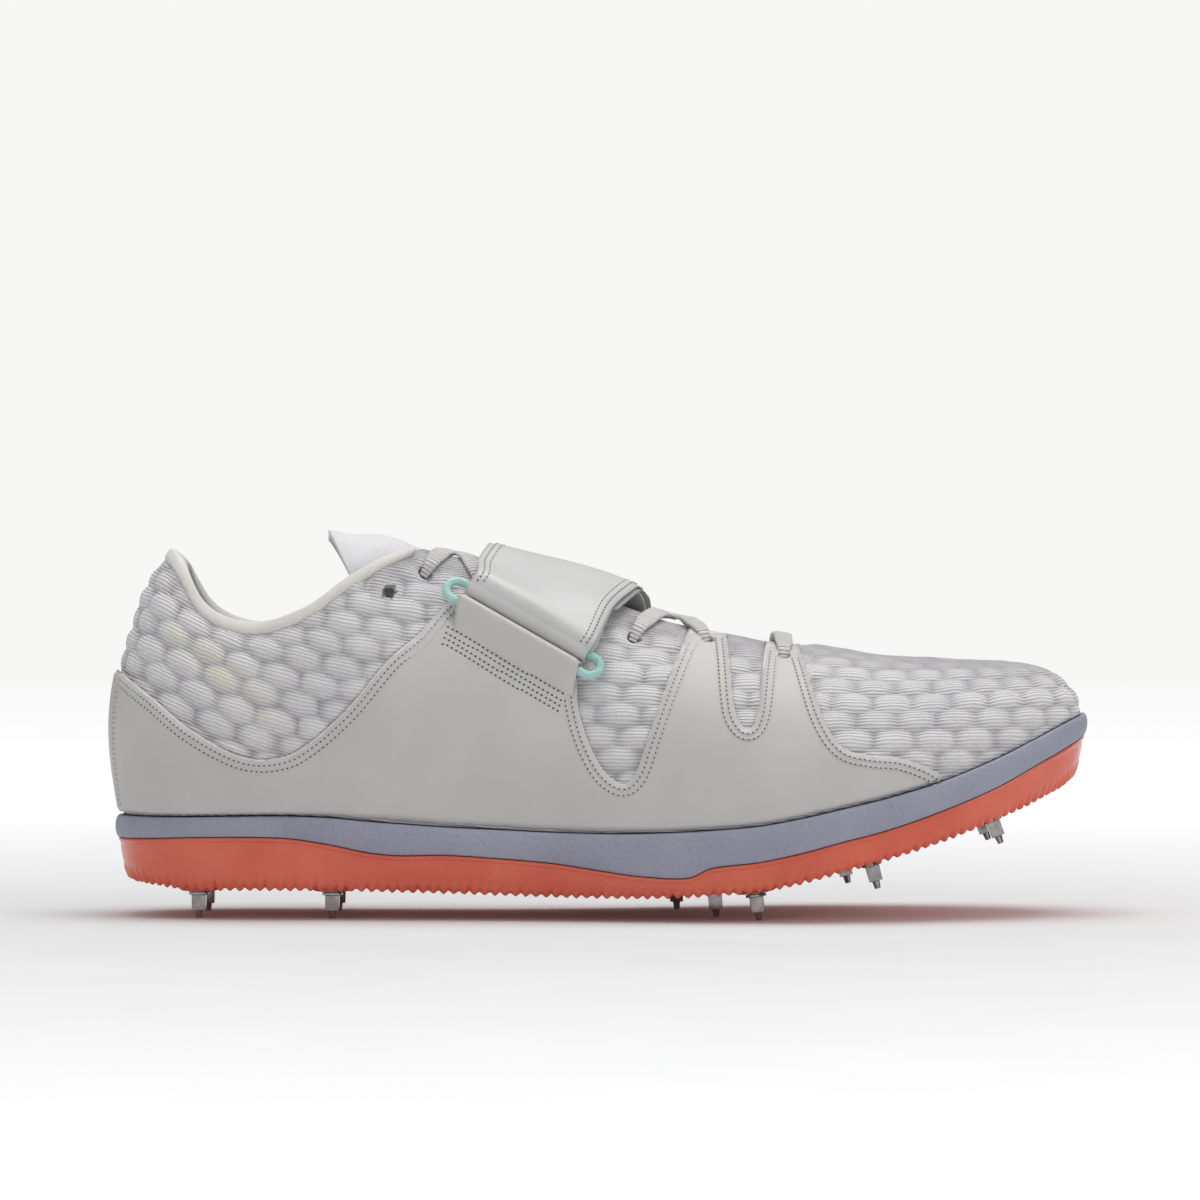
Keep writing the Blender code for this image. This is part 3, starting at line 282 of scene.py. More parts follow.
def throatHalfGap(x):
    back = ring["topX"][ridgeRow]
    share = np.clip((x - back) / (throat["front"] - back), 0, 1)
    width = throat["halfGapTop"] + (throat["halfGapFront"] - throat["halfGapTop"]) * share
    roundEnd = np.clip((throat["front"] - x) / throat["halfGapFront"], 0, 1)
    return width * np.sqrt(1 - (1 - roundEnd) ** 2)


def edgeShare(w):
    w = np.asarray(w, float)

    def shortOfThroat(v):
        p = form(w, v)
        return np.abs(p[..., 1] - swing(p[..., 0])) >= throatHalfGap(p[..., 0])

    closed = (rowOf(w) < ridgeRow - 2) | shortOfThroat(w * 0 + 1)
    return np.where(closed, 1.0, halving(shortOfThroat, w * 0 + 0.4, w * 0 + 1))


def shareAtSide(w, halfWidth):
    def far(v):
        p = form(w, v)
        return np.abs(p[..., 1] - swing(p[..., 0])) > halfWidth

    return halving(far, w * 0 + 0.3, w * 0 + 1)


def planPlace(x, y):
    side = np.where(y < swing(x), -1, 1)

    def placeAt(row):
        w = np.where(side < 0, row, ringSteps - row)
        return w, shareAtSide(w, np.abs(y - swing(x)))

    def behind(row):
        return form(*placeAt(row))[..., 0] < x

    return placeAt(halving(behind, x * 0 + ridgeRow - 2, x * 0 + toeRow - 2))


def girthStep(w, v, distance):
    w, v = np.broadcast_arrays(np.asarray(w, float), np.asarray(v, float))
    here, gone, step = v.copy(), v * 0, 0.004
    for _ in range(240):
        going = (gone < distance) & (here > step)
        piece = np.linalg.norm(form(w, here) - form(w, here - step), axis=-1)
        gone = gone + np.where(going, piece, 0)
        here = here - np.where(going, step, 0)
    return here


# The row frame's origin lies under the middle of the shoe, so the insole's box gives the shift
insoleRing = np.arange(ringSteps, dtype=float)
insoleInset = -(last["wall"] + soleSizes["insoleRoom"])
insoleEdge = soleRing(insoleRing, insoleRing * 0 + insoleInset, soleTop)
insoleLow = soleRing(insoleRing, insoleRing * 0 + insoleInset - soleSizes["insoleLip"], soleTop)
insoleCorner = np.array([*insoleEdge.min(0)[:2], insoleLow[:, 2].min() + gap])
shift = np.array(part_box("insole")[0]) - insoleCorner
print("shift of the last into the frame, mm:", np.round(shift / mm, 3))

# Even steps along the sole's edge
rowSamples = np.linspace(0, toeRow, 1201)
rowLengths = sum(travelled(basePoint(place(side, rowSamples))) for side in (-1, 1)) / 2


def rowsAt(lengths):
    return np.interp(lengths, rowLengths, rowSamples)


def lengthAt(row):
    return np.interp(row, rowSamples, rowLengths)


def evenRows(first, final, count):
    return rowsAt(np.linspace(lengthAt(first), lengthAt(final), count + 1))


def wholeRing(half, fixed=None):
    # places at even steps up one side and down the other, one of them moved to a fixed row
    rows = evenRows(0, toeRow, half)
    if fixed is not None:
        rows[np.argmin(np.abs(rows - fixed))] = fixed
    return np.concatenate([rows, ringSteps - rows[-2::-1]])


# Making meshes


def lattice(columns, rows):
    bm = bmesh.new()
    bm.loops.layers.uv.new("UVMap")
    bmesh.ops.create_grid(bm, x_segments=columns, y_segments=rows, size=0.5, calc_uvs=True)
    places = np.array([v.co[:2] for v in bm.verts]) + 0.5
    i = np.rint(places[:, 0] * columns).astype(int)
    j = np.rint(places[:, 1] * rows).astype(int)
    return bm, i, j


def placeVerts(bm, points):
    for vert, point in zip(bm.verts, points):
        vert.co = point


def setLayer(bm, name, values):
    layer = bm.verts.layers.float.new(name)
    for vert, value in zip(bm.verts, values):
        vert[layer] = value


def rolled(rings, closedAlong=False, caps=True, layers=None):
    # a lattice rolled into a tube through rings of points, with both ends closed
    rings = np.asarray(rings)
    rows, columns = rings.shape[0] - (0 if closedAlong else 1), rings.shape[1]
    bm, i, j = lattice(columns, rows)
    a, b = j % rings.shape[0], i % columns
    placeVerts(bm, rings[a, b])
    for name, values in (layers or {}).items():
        setLayer(bm, name, np.broadcast_to(values, rings.shape[:2])[a, b])
    bmesh.ops.remove_doubles(bm, verts=bm.verts, dist=0.002 * mm)
    if caps and not closedAlong:
        bmesh.ops.holes_fill(bm, edges=[e for e in bm.edges if e.is_boundary], sides=0)
    return bm


def ribbonRings(paths, thickness, edgeThickness=0.35, crown=0.0):
    # paths: (across, along, 3); the sheet thins to its long edges
    paths = np.asarray(paths, float)
    along = np.gradient(paths, axis=1)
    across = np.gradient(paths, axis=0)
    normal = unit(np.cross(along, across))
    place = np.abs(np.linspace(-1, 1, len(paths)))[:, None]
    half = thickness / 2 * np.where(place > 0.93, edgeThickness, 1.0)
    top = paths + normal * (half + crown * (1 - place**2))[..., None]
    bottom = paths - normal * half[..., None]
    return np.concatenate([top, bottom[::-1]], 0).transpose(1, 0, 2)


def smoothPath(points, steps):
    points = np.asarray(points, float)
    made = []
    for i in range(len(points) - 1):
        p0, p1 = points[max(i - 1, 0)], points[i]
        p2, p3 = points[i + 1], points[min(i + 2, len(points) - 1)]
        made += [catmull(p0, p1, p2, p3, k / steps) for k in range(steps)]
    return np.array(made + [points[-1]])


def meshOf(name, bm):
    mesh = bpy.data.meshes.new(name)
    bm.to_mesh(mesh)
    bm.free()
    return mesh


def joinInto(bm, part):
    mesh = meshOf("part", part)
    bm.from_mesh(mesh)
    bpy.data.meshes.remove(mesh)


def addObject(name, data):
    made = bpy.data.objects.new(name, data)
    bpy.context.scene.collection.objects.link(made)
    return made


def finishPiece(name, bm, finish, nodes=(), sharp=None):
    bmesh.ops.remove_doubles(bm, verts=bm.verts, dist=0.002 * mm)
    bmesh.ops.recalc_face_normals(bm, faces=bm.faces)
    for vert in bm.verts:
        vert.co += Vector(shift)
    mesh = meshOf(name, bm)
    mesh.shade_smooth()
    if sharp:
        mesh.set_sharp_from_angle(angle=math.radians(sharp))
    piece = addObject(name, mesh)
    for entry in (finish if isinstance(finish, list) else [finish]):
        mesh.materials.append(entry)
    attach(piece, root)
    if nodes:
        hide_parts(*nodes)
    return piece


def cutHoles(piece, places):
    # lace holes punched square to the skin
    bm = bmesh.new()
    for w, v in places:
        turn = Vector(formNormal(w, v)).to_track_quat("Z", "Y").to_matrix().to_4x4()
        bmesh.ops.create_cone(
            bm, cap_ends=True, segments=20, radius1=eyelet["radius"], radius2=eyelet["radius"],
            depth=eyelet["punchLength"], matrix=Matrix.Translation(Vector(form(w, v) + shift)) @ turn)
    punch = addObject("punch", meshOf("punch", bm))
    cut = piece.modifiers.new("laceHoles", "BOOLEAN")
    cut.object = punch
    cut.operation = "DIFFERENCE"
    cut.solver = "EXACT"
    graph = bpy.context.evaluated_depsgraph_get()
    mesh = bpy.data.meshes.new_from_object(
        piece.evaluated_get(graph), preserve_all_data_layers=True, depsgraph=graph)
    piece.modifiers.clear()
    piece.data = mesh
    bpy.data.meshes.remove(punch.data)


# Materials


def linear(code):
    channels = [int(code[k : k + 2], 16) / 255 for k in (1, 3, 5)]
    return [c / 12.92 if c <= 0.04045 else ((c + 0.055) / 1.055) ** 2.4 for c in channels] + [1.0]


def addNode(tree, kind, values, output=0, **settings):
    # a node with its settings and links, which gives back one of its outputs
    node = tree.nodes.new("ShaderNode" + kind)
    for key, value in settings.items():
        setattr(node, key, value)
    for key, value in values.items():
        if isinstance(value, bpy.types.NodeSocket):
            tree.links.new(value, node.inputs[key])
        else:
            node.inputs[key].default_value = value
    return node.outputs[output]


def newMaterial(name, settings):
    material = bpy.data.materials.new(name)
    material.use_nodes = True
    for key, value in settings.items():
        material.node_tree.nodes["Principled BSDF"].inputs[key].default_value = value
    return material, material.node_tree


def setSurface(material, color, height, distance, strength, normal=None):
    # colour and relief, the relief on top of a normal that is already bent
    tree = material.node_tree
    shader = tree.nodes["Principled BSDF"]
    tree.links.new(color, shader.inputs["Base Color"])
    values = {"Height": height, "Distance": distance, "Strength": strength}
    if normal is not None:
        values["Normal"] = normal
    tree.links.new(addNode(tree, "Bump", values, "Normal"), shader.inputs["Normal"])
    return material


def mottle(tree, size, detail=2.0, roughness=0.5):
    # uneven cloud with patches of this size
    return addNode(tree, "TexNoise", {
        "Vector": addNode(tree, "TexCoord", {}, "Object"),
        "Scale": 1 / size, "Detail": detail, "Roughness": roughness,
    }, "Fac")


def twoTone(tree, factor, first, second, low=0.35, high=0.65):
    # from one colour to another between two values of the factor
    color = addNode(tree, "ValToRGB", {"Fac": factor}, "Color")
    stops = color.node.color_ramp.elements
    for stop, position, code in ((stops[0], low, first), (stops[1], high, second)):
        stop.position = position
        stop.color = linear(code)
    return color


def waves(tree, value, pitch):
    angle = addNode(tree, "Math", {0: value, 1: 2 * math.pi / pitch}, operation="MULTIPLY")
    return addNode(tree, "Math", {0: angle}, operation="SINE")


# Engineered knit of matt polyester yarn: fine raised courses, with painted shade in lines along their grooves,
# and painted shade darkening the valleys between pillows
def knitMaterial():
    material, tree = newMaterial("polyester engineered knit", {
        "Roughness": 0.85, "Sheen Weight": 0.12, "Sheen Roughness": 0.5,
    })
    course, along, puff, fused = (
        addNode(tree, "Attribute", {}, "Fac", attribute_name=name)
        for name in ("courseMm", "alongMm", "puff", "fused"))
    wander = addNode(tree, "Math", {0: mottle(tree, 7 * mm), 1: 1.3}, operation="MULTIPLY")
    courses = waves(tree, addNode(tree, "Math", {0: course, 1: wander}, operation="ADD"), 1.05)
    stitches = waves(tree, along, 1.1)
    # courses stand out where the cloth isn't stretched over a pillow
    slack = addNode(tree, "Math", {0: 1.25, 1: puff}, operation="SUBTRACT")
    depth = addNode(tree, "Math", {0: slack, 1: mottle(tree, 5 * mm)}, operation="MULTIPLY")
    relief = addNode(tree, "Math", {0: depth, 1: 0.7}, operation="ADD")
    relief = addNode(tree, "Math", {0: courses, 1: relief}, operation="MULTIPLY")
    across = addNode(tree, "Math", {0: stitches, 1: 0.12}, operation="MULTIPLY")
    height = addNode(tree, "Math", {0: relief, 1: across}, operation="ADD")
    shade = addNode(tree, "Math", {0: courses, 1: 0.5, 2: 0.5}, operation="MULTIPLY_ADD")
    color = addNode(tree, "Mix", {
        "Factor": fused, "A": twoTone(tree, mottle(tree, 22 * mm), "#E3E1E2", "#E9E7E7"),
        "B": linear("#E6E2D6"),
    }, "Result", data_type="RGBA")
    # painted shade: the colour is darker where the pillows sink into valleys
    valleyShade = twoTone(tree, puff, "#A9A7AB", "#FFFFFF", 0.0, 0.6)
    # painted shade: the colour is darker in the grooves between the raised courses
    courseShade = twoTone(tree, shade, "#CBCACD", "#FFFFFF", 0.0, 0.6)
    courseShadeAmount = addNode(tree, "Math", {0: depth, 1: 0.2}, operation="ADD")
    for factor, paintedShade in ((0.45, valleyShade), (courseShadeAmount, courseShade)):
        color = addNode(tree, "Mix", {"Factor": factor, "A": color, "B": paintedShade}, "Result",
                        data_type="RGBA", blend_type="MULTIPLY")
    return setSurface(material, color, height, 0.18 * mm, 0.9)


# Polyester mesh lining: matt, slightly fuzzy, greyer than the outside
def liningMaterial():
    material, tree = newMaterial("brushed polyester lining", {"Roughness": 0.95, "Sheen Weight": 0.3})
    nap = mottle(tree, 1.2 * mm, 3.0)
    return setSurface(material, twoTone(tree, nap, "#B4B3B8", "#C9C8CB"), nap, 0.2 * mm, 0.7)


# Polyurethane-coated synthetic leather: even warm grey, very fine grain, satin; paler along a cut edge
def leatherMaterial(name, first, second, roughness, grain, edgeLayer=None):
    material, tree = newMaterial(name, {
        "Roughness": roughness, "Coat Weight": 0.05, "Coat Roughness": 0.45,
    })
    color = twoTone(tree, mottle(tree, 30 * mm, 3.0), first, second)
    dents = {"Height": mottle(tree, 16 * mm), "Distance": 0.8 * mm, "Strength": 0.4}
    normal = addNode(tree, "Bump", dents, "Normal")
    if edgeLayer:
        edge = addNode(tree, "Attribute", {}, "Fac", attribute_name=edgeLayer)
        rim = addNode(tree, "Math", {0: edge, 1: 0.5}, operation="LESS_THAN")
        color = addNode(tree, "Mix", {"Factor": rim, "A": color, "B": linear("#DAD9D5")}, "Result",
                        data_type="RGBA")
        # the seams draw the leather down in two shallow grooves
        fromEdge = addNode(tree, "Math", {0: edge, 1: 1.25}, operation="SUBTRACT")
        seamed = addNode(tree, "Math", {0: edge, 1: 4.3}, operation="LESS_THAN")
        grooves = addNode(tree, "Math", {0: waves(tree, fromEdge, 1.8), 1: seamed}, operation="MULTIPLY")
        normal = addNode(tree, "Bump", {
            "Height": grooves, "Distance": 0.10 * mm, "Strength": 0.8, "Normal": normal,
        }, "Normal")
    return setSurface(material, color, mottle(tree, 0.7 * mm, 3.0, 0.6), grain, 0.6, normal)


# Moulded EVA foam: matt, with the pebbled grain of a textured mould
def foamMaterial():
    material, tree = newMaterial("moulded EVA foam", {"Roughness": 0.62})
    pebbles = addNode(tree, "TexVoronoi", {
        "Vector": addNode(tree, "TexCoord", {}, "Object"), "Scale": 1 / (1.15 * mm),
    }, "Distance", feature="SMOOTH_F1")
    color = twoTone(tree, mottle(tree, 25 * mm), "#9698A9", "#A0A2B2")
    return setSurface(material, color, pebbles, 0.36 * mm, 1.0)


# Injection-moulded nylon plate: saturated coral, glossy
def plateMaterial():
    material, tree = newMaterial("moulded nylon plate", {
        "Roughness": 0.28, "Coat Weight": 0.25, "Coat Roughness": 0.12, "IOR": 1.53,
    })
    color = twoTone(tree, mottle(tree, 18 * mm), "#DB5C41", "#E56A4E")
    return setSurface(material, color, mottle(tree, 0.9 * mm), 0.03 * mm, 0.5)


# Polished hardened steel
def steelMaterial():
    material, tree = newMaterial("polished hardened steel", {"Metallic": 1.0, "Roughness": 0.10})
    streaks = mottle(tree, 3 * mm, 1.0)
    return setSurface(material, twoTone(tree, streaks, "#8B8886", "#A5A2A0"), streaks, 0.004 * mm, 0.3)


# Moulded acetal ring: mint, smooth and satin
def acetalMaterial():
    material, tree = newMaterial("moulded acetal", {
        "Roughness": 0.25, "IOR": 1.48, "Subsurface Weight": 0.1, "Subsurface Scale": 1 * mm,
    })
    cloud = mottle(tree, 8 * mm)
    return setSurface(material, twoTone(tree, cloud, "#9FCFC8", "#B0DAD4"), cloud, 0.05 * mm, 0.3)


# Woven tape: ribs across its length, as deep as depth says, with painted shade in the grooves between them as
# strong as depth says
def tapeMaterial(name, first, second, pitch, depth):
    material, tree = newMaterial(name, {"Roughness": 0.85, "Sheen Weight": 0.2})
    ribs = waves(tree, addNode(tree, "Attribute", {}, "Fac", attribute_name="lengthMm"), pitch)
    shade = addNode(tree, "Math", {0: ribs, 1: 0.5, 2: 0.5}, operation="MULTIPLY_ADD")
    # painted shade: the colour darkens in the grooves between the ribs
    color = addNode(tree, "Mix", {
        "Factor": depth, "A": twoTone(tree, mottle(tree, 12 * mm), first, second),
        "B": twoTone(tree, shade, "#D2D0CD", "#FFFFFF", 0.0, 0.6),
    }, "Result", data_type="RGBA", blend_type="MULTIPLY")
    return setSurface(material, color, ribs, 0.24 * mm * depth, 0.9)


# Brushed nylon hook-and-loop tape: grey, matt and fuzzy
def hookMaterial():
    material, tree = newMaterial("nylon hook and loop tape", {"Roughness": 0.95, "Sheen Weight": 0.4})
    loops = mottle(tree, 0.6 * mm, 3.0, 0.7)
    return setSurface(material, twoTone(tree, loops, "#8E8D8D", "#B3B2B1"), loops, 0.25 * mm, 1.0)


finishes = {
    "knit": knitMaterial(),
    "lining": liningMaterial(),
    "panel": leatherMaterial("polyurethane panel leather", "#C3C2BE", "#CAC9C5", 0.46, 0.035 * mm, "edgeMm"),
    "strap": leatherMaterial("smooth polyurethane strap", "#C6C5C4", "#CFCECD", 0.36, 0.02 * mm),
    "thread": leatherMaterial("bonded polyester thread", "#C3C2BF", "#CDCCC9", 0.6, 0.03 * mm),
    # dark beads of painted shade that stand for the hollow of each needle hole
    "needleHoleShade": leatherMaterial("shaded needle hole", "#4E4D4C", "#5A5958", 0.9, 0.02 * mm),
    "foam": foamMaterial(),
    "plate": plateMaterial(),
    "fold": leatherMaterial("folded polyurethane leather", "#C7C6C2", "#CDCCC8", 0.44, 0.035 * mm),
    "hooks": hookMaterial(),
    "steel": steelMaterial(),
    "ring": acetalMaterial(),
    "tape": tapeMaterial("woven polyester binding", "#DEDBD4", "#E8E5DF", 0.9, 0.1),
    "lace": tapeMaterial("flat woven polyester lace", "#DAD8D4", "#E4E2DE", 1.15, 0.8),
    "tongue": tapeMaterial("spacer knit tongue", "#DAD9DC", "#E3E2E4", 1.3, 0.1),
}
print("materials made")

# Lace holes of each side, front to back: along, drop under the throat's edge as a share of the inset
eyelets = (
    (0.694, 1.00), (0.620, 0.72), (0.549, 1.17), (0.470, 1.00), (0.388, 1.00), (0.329, 1.00), (0.294, 1.08),
)
eyelet = {"inset": 11.5 * mm, "radius": 1.8 * mm, "punchLength": 8 * mm, "onPanel": 2}


def eyeletPlaces():
    found = []
    for side in (-1, 1):
        for along, inset in eyelets:
            w = np.array(place(side, float(rowAt(along * last["length"], ring["topX"]))))
            found.append((w, girthStep(w, edgeShare(w), inset * eyelet["inset"])))
    return found


holes = eyeletPlaces()


# Side panels

panel = {
    "firstRow": 0.06,
    "lastRow": 16,
    "foot": 0.012,
    "top": 0.965,  # share of the wall up to the throat's edge
    "columns": 270,
    "rows": 62,
    "thickness": 1.0 * mm,
    "edgeDrop": 0.45 * mm,
    "seamInsets": (1.7 * mm, 3.5 * mm),
    "heelSeam": 7.5 * mm,
    "outlineMiss": 2.5 * mm,  # outline points this far off the skin are left out
    "steepest": 0.35,  # and those where the skin faces away from the side
    "stitchPitch": 1.5 * mm,
    "stitchSize": (0.50 * mm, 0.20 * mm, 0.17 * mm),
    "needleHoleShade": (0.30 * mm, 0.26 * mm, 0.09 * mm),
}

# Upper outline in side view: along, height over the heel's sole top, corner
panelOutline = (
    (-0.030, 0.520, True), (0.018, 0.512, True), (0.052, 0.425, False), (0.095, 0.305, False),
    (0.145, 0.216, False), (0.184, 0.217, False), (0.213, 0.275, False), (0.250, 0.397, False),
    (0.288, 0.562, False), (0.318, 0.655, False), (0.335, 0.722, False), (0.352, 0.782, True),
    (0.476, 0.570, True), (0.477, 0.480, False), (0.479, 0.392, False), (0.489, 0.270, False),
    (0.505, 0.165, False), (0.524, 0.122, False), (0.537, 0.165, False), (0.549, 0.290, False),
    (0.570, 0.500, False),
    (0.596, 0.716, True), (0.626, 0.716, True), (0.630, 0.560, False), (0.634, 0.390, False),
    (0.642, 0.325, False), (0.651, 0.320, False), (0.658, 0.385, False), (0.664, 0.560, False),
    (0.671, 0.656, True), (0.698, 0.647, True), (0.706, 0.540, False), (0.722, 0.350, False),
    (0.741, 0.250, False), (0.768, 0.222, False), (0.802, 0.208, False), (0.838, 0.152, False),
    (0.860, 0.052, True),
)


def outlinePoints(steps=8):
    points = []
    for i in range(len(panelOutline) - 1):
        a, b = panelOutline[i], panelOutline[i + 1]
        before = a if a[2] or i == 0 else panelOutline[i - 1]
        after = b if b[2] or i + 2 >= len(panelOutline) else panelOutline[i + 2]
        points += [[catmull(before[c], a[c], b[c], after[c], k / steps) for c in (0, 1)] for k in range(steps)]
    points.append(panelOutline[-1][:2])
    low = soleTop(np.array(0.15 * last["length"]))
    return np.array(points) * (last["length"], last["instepHeight"]) + (0, low)


sideOutline = outlinePoints()


def insideOutline(x, z):
    closed = np.concatenate([[(sideOutline[0, 0], 0)], sideOutline, [(sideOutline[-1, 0], 0)]])
    inside = np.zeros(x.shape, bool)
    for (ax, az), (bx, bz) in zip(closed, np.roll(closed, -1, 0)):
        if az == bz:
            continue
        crosses = (az > z) != (bz > z)
        inside ^= crosses & (x < ax + (z - az) / (bz - az) * (bx - ax))
    return inside


def nearestOnLine(points, line):
    # distance to a line of points, and the nearest point on it
    best = np.full(len(points), np.inf)
    spot = np.zeros_like(points)
    for a, b in zip(line[:-1], line[1:]):
        step = b - a
        t = np.clip(((points - a) @ step) / max(step @ step, 1e-12), 0, 1)
        near = a + t[:, None] * step
        distance = np.linalg.norm(points - near, axis=1)
        closer = distance < best
        best = np.where(closer, distance, best)
        spot[closer] = near[closer]
    return best, spot


def outlineOnShoe(side, out):
    # the side-view outline laid on the skin, with its normals
    rows = evenRows(panel["firstRow"], panel["lastRow"], 400)
    w, v = np.meshgrid(place(side, rows), np.linspace(0.002, 0.97, 160), indexing="ij")
    points, normals = form(w, v).reshape(-1, 3), formNormal(w, v).reshape(-1, 3)
    made, turned = [], []
    for x, z in sideOutline:
        offsets = points[:, [0, 2]] - (x, z)
        k = int(np.argmin((offsets**2).sum(1)))
        n = normals[k]
        if np.hypot(*offsets[k]) > panel["outlineMiss"] or abs(n[1]) < panel["steepest"]:
            continue
        y = points[k, 1] + (n[0] * offsets[k, 0] + n[2] * offsets[k, 1]) / n[1]
        made.append(np.array([x, y, z]) + n * out)
        turned.append(n)
    return np.array(made), np.array(turned)


def buildPanel(name, side, nodes):
    bm, i, j = lattice(panel["columns"], panel["rows"])
    rows = evenRows(panel["firstRow"], panel["lastRow"], panel["columns"])
    w = place(side, rows)[i]
    edge = edgeShare(place(side, rows))[i]
    shares = np.linspace(0, 1, panel["rows"] + 1)[j]
    v = (panel["foot"] + (panel["top"] - panel["foot"]) * shares) * edge
    surface, normals = form(w, v), formNormal(w, v)
    top = surface + normals * (gap + panel["thickness"])
    low = surface + normals * gap * 0.5
    keep = insideOutline(surface[:, 0], surface[:, 2])
    index = bm.verts.layers.int.new("place")
    bm.verts.ensure_lookup_table()
    for k, vert in enumerate(bm.verts):
        vert[index] = k
    gone = [f for f in bm.faces if sum(keep[vert[index]] for vert in f.verts) < 2]
    bmesh.ops.delete(bm, geom=gone, context="FACES")
    # the cut edge is drawn onto the outline
    border = [vert for vert in bm.verts if vert.is_boundary]
    where = np.array([vert[index] for vert in border])
    inner = (j[where] > 0) & (i[where] > 0) & (j[where] < panel["rows"]) & (i[where] < panel["columns"])
    where = where[inner]
    _, spot = nearestOnLine(surface[where][:, [0, 2]], sideOutline)
    delta = spot - surface[where][:, [0, 2]]
    n = normals[where]
    sideways = (n[:, 0] * delta[:, 0] + n[:, 2] * delta[:, 1]) / n[:, 1]
    move = np.stack([delta[:, 0], -np.where(np.abs(n[:, 1]) < 0.2, 0, sideways), delta[:, 1]], 1)
    top[where] += move
    low[where] += move
    # the very edge is lower, like skived leather
    rim = np.array([vert[index] for vert in border])
    top[rim] -= normals[rim] * panel["edgeDrop"]
    made = bmesh.ops.extrude_face_region(bm, geom=bm.faces[:], use_keep_orig=True)
    raised = {vert for vert in made["geom"] if isinstance(vert, bmesh.types.BMVert)}
    for vert in bm.verts:
        vert.co = top[vert[index]] if vert in raised else low[vert[index]]
    line, _ = outlineOnShoe(side, gap + panel["thickness"])
    distance, _ = nearestOnLine(np.array([vert.co[:] for vert in bm.verts]), line)
    setLayer(bm, "edgeMm", distance / mm)
    piece = finishPiece(name, bm, finishes["panel"], nodes)
    first = 0 if side < 0 else len(eyelets)
    cutHoles(piece, holes[first : first + eyelet["onPanel"]])


def beadTemplate(size, sides, levels):
    bm = bmesh.new()
    bmesh.ops.create_uvsphere(
        bm, u_segments=sides, v_segments=levels, radius=1.0, matrix=Matrix.Rotation(math.pi / 2, 4, "Y"))
    bmesh.ops.scale(bm, vec=size, verts=bm.verts)
    bmesh.ops.recalc_face_normals(bm, faces=bm.faces)
    corners = np.array([vert.co[:] for vert in bm.verts])
    faces = [[vert.index for vert in face.verts] for face in bm.faces]
    bm.free()
    return corners, faces


def buildStitches(name, rows, holeScale=1.0):
    # one stitch and one dark bead of painted shade for its needle hole, repeated along rows of points that lie on
    # the leather
    bm = bmesh.new()
    pitch = panel["stitchPitch"]
    hole = [size * holeScale for size in panel["needleHoleShade"]]
    templates = ((beadTemplate(panel["stitchSize"], 6, 4), 0.5, 0), (beadTemplate(hole, 8, 4), 0.0, 1))
    for line, normals in rows:
        gone = travelled(line)
        if len(line) < 2 or gone[-1] < pitch:
            continue
        for (corners, faces), offset, slotIndex in templates:
            at = np.arange(pitch * (0.5 + offset), gone[-1] - pitch / 2, pitch)
            spots, before, after = (
                np.stack([np.interp(at + step, gone, line[:, k]) for k in range(3)], -1)
                for step in (0, -pitch / 4, pitch / 4))
            ahead = unit(after - before)
            upright = unit(np.stack([np.interp(at, gone, normals[:, k]) for k in range(3)], -1))
            axes = np.stack([ahead, unit(np.cross(upright, ahead)), upright], 1)
            for spot, axis in zip(spots, axes):
                verts = [bm.verts.new(corner) for corner in corners @ axis + spot]
                for face in faces:
                    bm.faces.new([verts[k] for k in face]).material_index = slotIndex
    finishPiece(name, bm, [finishes["thread"], finishes["needleHoleShade"]])


def splitRow(row, normals, good):
    # the unbroken stretches of a row
    cuts = np.flatnonzero(np.diff(np.concatenate([[False], good, [False]]).astype(int)))
    return [(row[a:b], normals[a:b]) for a, b in zip(cuts[::2], cuts[1::2])]


def buildPanelStitches(name, side):
    line, normals = outlineOnShoe(side, gap + panel["thickness"])
    along = unit(np.gradient(line, axis=0))
    inward = unit(np.cross(along, normals)) * (1 if side < 0 else -1)
    rows = []
    for inset in panel["seamInsets"]:
        row = line + inward * inset
        distance, _ = nearestOnLine(row, line)
        rows += splitRow(row, normals, distance > inset * 0.9)
        # down the side of the heel
        w = place(side, rowsAt(panel["heelSeam"] + inset))
        v = np.linspace(0.03, 0.9, 60)
        upright = skin(w, v, gap + panel["thickness"])
        inside = insideOutline(upright[:, 0], upright[:, 2] + inset)
        rows.append((upright[inside], formNormal(w + v * 0, v)[inside]))
    buildStitches(name, rows)


buildPanel("lateralPanel", -1, ["lateral_overlay"])
buildPanel("medialPanel", 1, ["medial_overlay"])
buildPanelStitches("lateralPanelStitches", -1)
buildPanelStitches("medialPanelStitches", 1)
print("side panels made")

# Knitted upper

knit = {
    "halfColumns": 300,
    "outerRows": 74,
    "rimRows": 4,
    "innerRows": 18,
    "bubbleLength": 12.5 * mm,
    "bubbleHeight": 6.6 * mm,
    "bubbleDepth": 1.9 * mm,
    "forefootCalm": 0.1,
    "calmFrom": 0.27,  # along, past which the pillows fade out towards the lace holes
    "levelShare": 0.45,  # share of the wall where the courses lie level
    "hollow": 0.7,  # share of the pillows' depth that lies under the last
    "tucked": 0.4 * mm,  # depth under the side panels
    "footFade": 0.04,  # share of the wall over which the pillows fade out at the sole
    "topFade": 5 * mm,
    "edgeCalm": (8 * mm, 14 * mm, 18 * mm),  # calm strip, and its fade at the throat and on the toe
    "calmest": (0.25, 0.1),
    "holeDimple": 0.5 * mm,
    "dimpleSize": 3.5 * mm,
    "fusedReach": 3.2 * mm,
    "fusedFrom": (23 * mm, 81 * mm),
    "fusedTo": (48 * mm, 61 * mm),
}

# Fall of the knit's courses along the foot: place, slope
courseSlope = np.array([(0.0, 0.35), (0.07, 0.42), (0.16, 0.28), (0.30, 0.13), (0.50, 0.04), (1.0, 0.0)])


